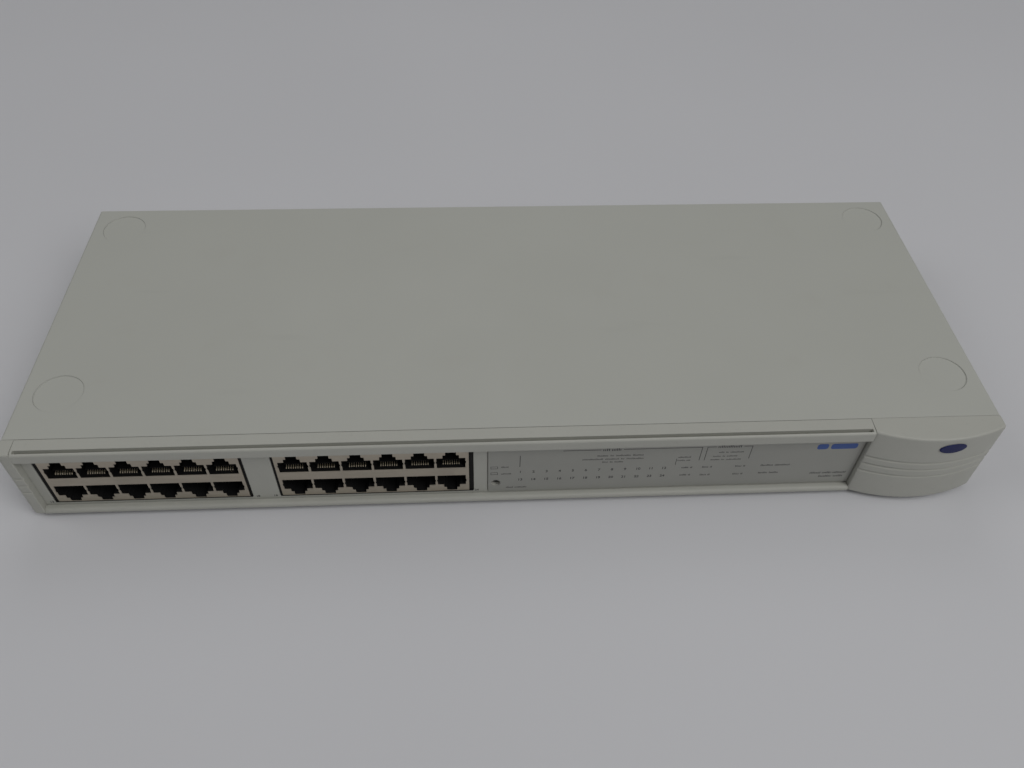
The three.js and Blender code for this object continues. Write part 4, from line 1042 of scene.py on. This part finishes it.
def bulk_capacitor():
    """A sleeved can on its side: a bead near its foot, a rolled rim, a crossed vent and two leads."""
    x, (y0, y1), z = cad_box("bulk_capacitor")
    radius = (x[1] - x[0]) / 2
    at = (middle(x), 0, middle(z))
    profile = [(0.01, y0 + 0.5), (radius - 2, y0 + 0.5), (radius - 1.8, y0), (radius - 0.5, y0 + 0.2),
               (radius, y0 + 0.9), (radius, y0 + 2.4), (radius - 0.6, y0 + 3.2), (radius - 0.6, y0 + 3.8),
               (radius, y0 + 4.6), (radius, y1 - 0.9), (radius - 0.3, y1 - 0.2), (radius - 0.9, y1),
               (radius - 1.2, y1 - 0.35), (0.01, y1 - 0.35)]
    vent = [box(around(at[0], a), (y1 - 0.7, y1 + 1), around(at[2], b)) for a, b in ((5, 0.2), (0.2, 5))]
    piece("capacitor_can", turned(profile, "Y", at, 48), "capacitor_sleeve", ["bulk_capacitor"],
          together(*vent), overlapping=True)
    leads = []
    for x_lead in (at[0] - 5, at[0] + 5):
        path = [(x_lead, y0 + 1, at[2]), (x_lead, y0 - 1.6, at[2]), (x_lead, y0 - 2.2, at[2] - 0.6),
                (x_lead, y0 - 2.2, BOARD_TOP - 1)]
        leads.append(tube(path, 0.45, 12))
    piece("capacitor_leads", together(*leads), "nickel")


def dc_harness():
    """Three insulated leads twisted together on their way from the power board to the main board."""
    stations = ((142, 30, 7.4), (138, 30, 10.4), (130, 32, 11.9), (120, 34, 10.4), (116, 34, 7.4))
    points = [Vector(station) for station in stations]
    steps = 10
    route = []
    for k in range(len(points) - 1):
        a, b = points[max(k - 1, 0)], points[k]
        c, d = points[k + 1], points[min(k + 2, len(points) - 1)]
        for i in range(steps):
            t = i / steps
            route.append((2 * b + (c - a) * t + (2 * a - 5 * b + 4 * c - d) * t ** 2
                          + (3 * b - a - 3 * c + d) * t ** 3) / 2)
    route.append(points[-1])
    wires = []
    for lead in range(3):
        path = []
        for i, point in enumerate(route):
            turn = math.radians(120 * lead + 22 * i)
            path.append(point + Vector((0, math.cos(turn), math.sin(turn))) * 0.85)
        wires.append(tube(path, 0.7, 10))
    piece("twisted_leads", together(*wires), "wire_sleeve", ["dc_harness"])


def small_parts():
    """Rows of small chip resistors and capacitors on the main board, with plated ends."""
    columns, rows = 13, 4
    bodies, ends = [], []
    for i in range(columns * rows):
        row = i // columns
        x = -196 + (i % columns) * 7.2 + (row % 2) * 2.0
        y = 60 + row * 5.4
        bodies.append(box(around(x, 0.75), around(y, 0.62), (BOARD_TOP + 0.02, BOARD_TOP + 0.66)))
        for sign in (-1, 1):
            span = sorted((x + sign * 0.7, x + sign * 1.05))
            ends.append(box(span, around(y, 0.64), (BOARD_TOP + 0.01, BOARD_TOP + 0.7)))
    piece("chip_resistors", together(*bodies), "chip_epoxy")
    piece("resistor_ends", together(*ends), "nickel")


def inside():
    """What the boards carry, apart from the CAD nodes that stay."""
    board_chip("switch_chip", 0.8, True)
    board_chip("processor_chip", 0.8, True)
    board_chip("packet_memory", 1.27, False)
    for side in SIDES:
        board_chip(f"magnetics_{side}", 2.0, False)
    bulk_capacitor()
    dc_harness()
    small_parts()


# ---------------------------------------------------------------- carried-over CAD nodes

def finish_cad_nodes(skip):
    """Every CAD node that stays gets whole flat faces, rounded edges and its material."""
    slots = {part["node"]: part["material_slot"] for part in frame["record"]["subparts"]}
    widths = {"main_board": 0.1, "power_board": 0.1, "fan_rotor": 0.12, "chip_heatsink": 0.15}
    for name, obj in frame["nodes"].items():
        if name in skip:
            continue
        weld = obj.modifiers.new("weld", "WELD")
        weld.merge_threshold = 1e-6
        flat = obj.modifiers.new("flat", "DECIMATE")
        flat.decimate_type = "DISSOLVE"
        flat.angle_limit = math.radians(1)
        soften(obj, widths.get(name, 0.2), 2, 40)
        obj.data.materials.clear()
        obj.data.materials.append(MATERIALS[slots[name]])


# ---------------------------------------------------------------- stage

def pale_floor():
    """A plain pale floor, 8 m across, with a hint of unevenness."""
    floor = Finish("stage_floor", (0.66, 0.66, 0.68), 0.6)
    floor.tint(floor.ramp(floor.noise(300, 2), 0.4, 0.7), (0.63, 0.63, 0.65), 0.5)
    floor.bump(floor.noise(2.0, 2), 0.02, 0.3)
    mesh = bpy.data.meshes.new("floor")
    half = 4.0
    corners = [(x, y, 0) for x, y in rectangle((-half, half), (-half, half))]
    mesh.from_pydata(corners, [], [(0, 1, 2, 3)])
    mesh.materials.append(floor.material)
    obj = new_object("floor", mesh)


LAMP_SIZE = 1.6
LAMP_DISTANCE = 2.6


def soft_light(name, elevation, azimuth, power):
    """A large round lamp aimed at the case, at an elevation above the floor and an azimuth from +X."""
    lamp = bpy.data.lights.new(name, "AREA")
    lamp.shape = "DISK"
    lamp.size = LAMP_SIZE
    lamp.energy = power
    obj = new_object(name, lamp)
    up, turn = math.radians(elevation), math.radians(azimuth)
    away = Vector((math.cos(up) * math.cos(turn), math.cos(up) * math.sin(turn), math.sin(up)))
    obj.location = away * LAMP_DISTANCE
    obj.rotation_euler = (-away).to_track_quat("-Z", "Y").to_euler()


def lighting():
    world = bpy.data.worlds.new("studio")
    world.use_nodes = True
    background = world.node_tree.nodes["Background"]
    background.inputs["Color"].default_value = (0.97, 0.98, 1.0, 1)
    background.inputs["Strength"].default_value = 0.12
    bpy.context.scene.world = world
    soft_light("front_right", 45, -45, 17.5)
    soft_light("high_right", 65, -30, 8.5)
    soft_light("left", 45, 180, 9.5)
    soft_light("back", 50, 90, 5.5)


def camera():
    """The photograph's view, from in front and above."""
    data = bpy.data.cameras.new("camera")
    data.lens = 30.27
    data.sensor_width = 36
    data.clip_start = 0.01
    obj = new_object("camera", data)
    turns = ((-4.33, "Z"), (42.05, "X"), (1.93, "Z"))
    rotation = Matrix.Identity(4)
    for degrees, axis in turns:
        rotation = rotation @ Matrix.Rotation(math.radians(degrees), 4, axis)
    obj.matrix_world = Matrix.Translation(to_row(-20, -238, 337)) @ rotation
    bpy.context.scene.camera = obj


camera()
pale_floor()
lighting()
bpy.context.scene.view_settings.view_transform = "Standard"

top_cover()
cover_screws()
rubber_feet()
front_fascia()
end_cap("end_cap_left", left_cap_outline, "left_end_cap", (-HALF + 2, FASCIA_X[0] - 1.8), -5)
end_cap("end_cap_right", right_cap_outline, "right_end_cap", (FASCIA_X[1] + 3, HALF - 3), -4.5)
end_badge()
display_film()
push_button()
for side, centre in zip(SIDES, BLOCK_X):
    port_shield(side, centre)
    port_housing(side, centre)
    block_surround(side, centre)
    for row in ROWS:
        contact_bank(side, centre, row)
display_print()
inside()
finish_cad_nodes({name for name, obj in frame["nodes"].items() if obj.hide_render})
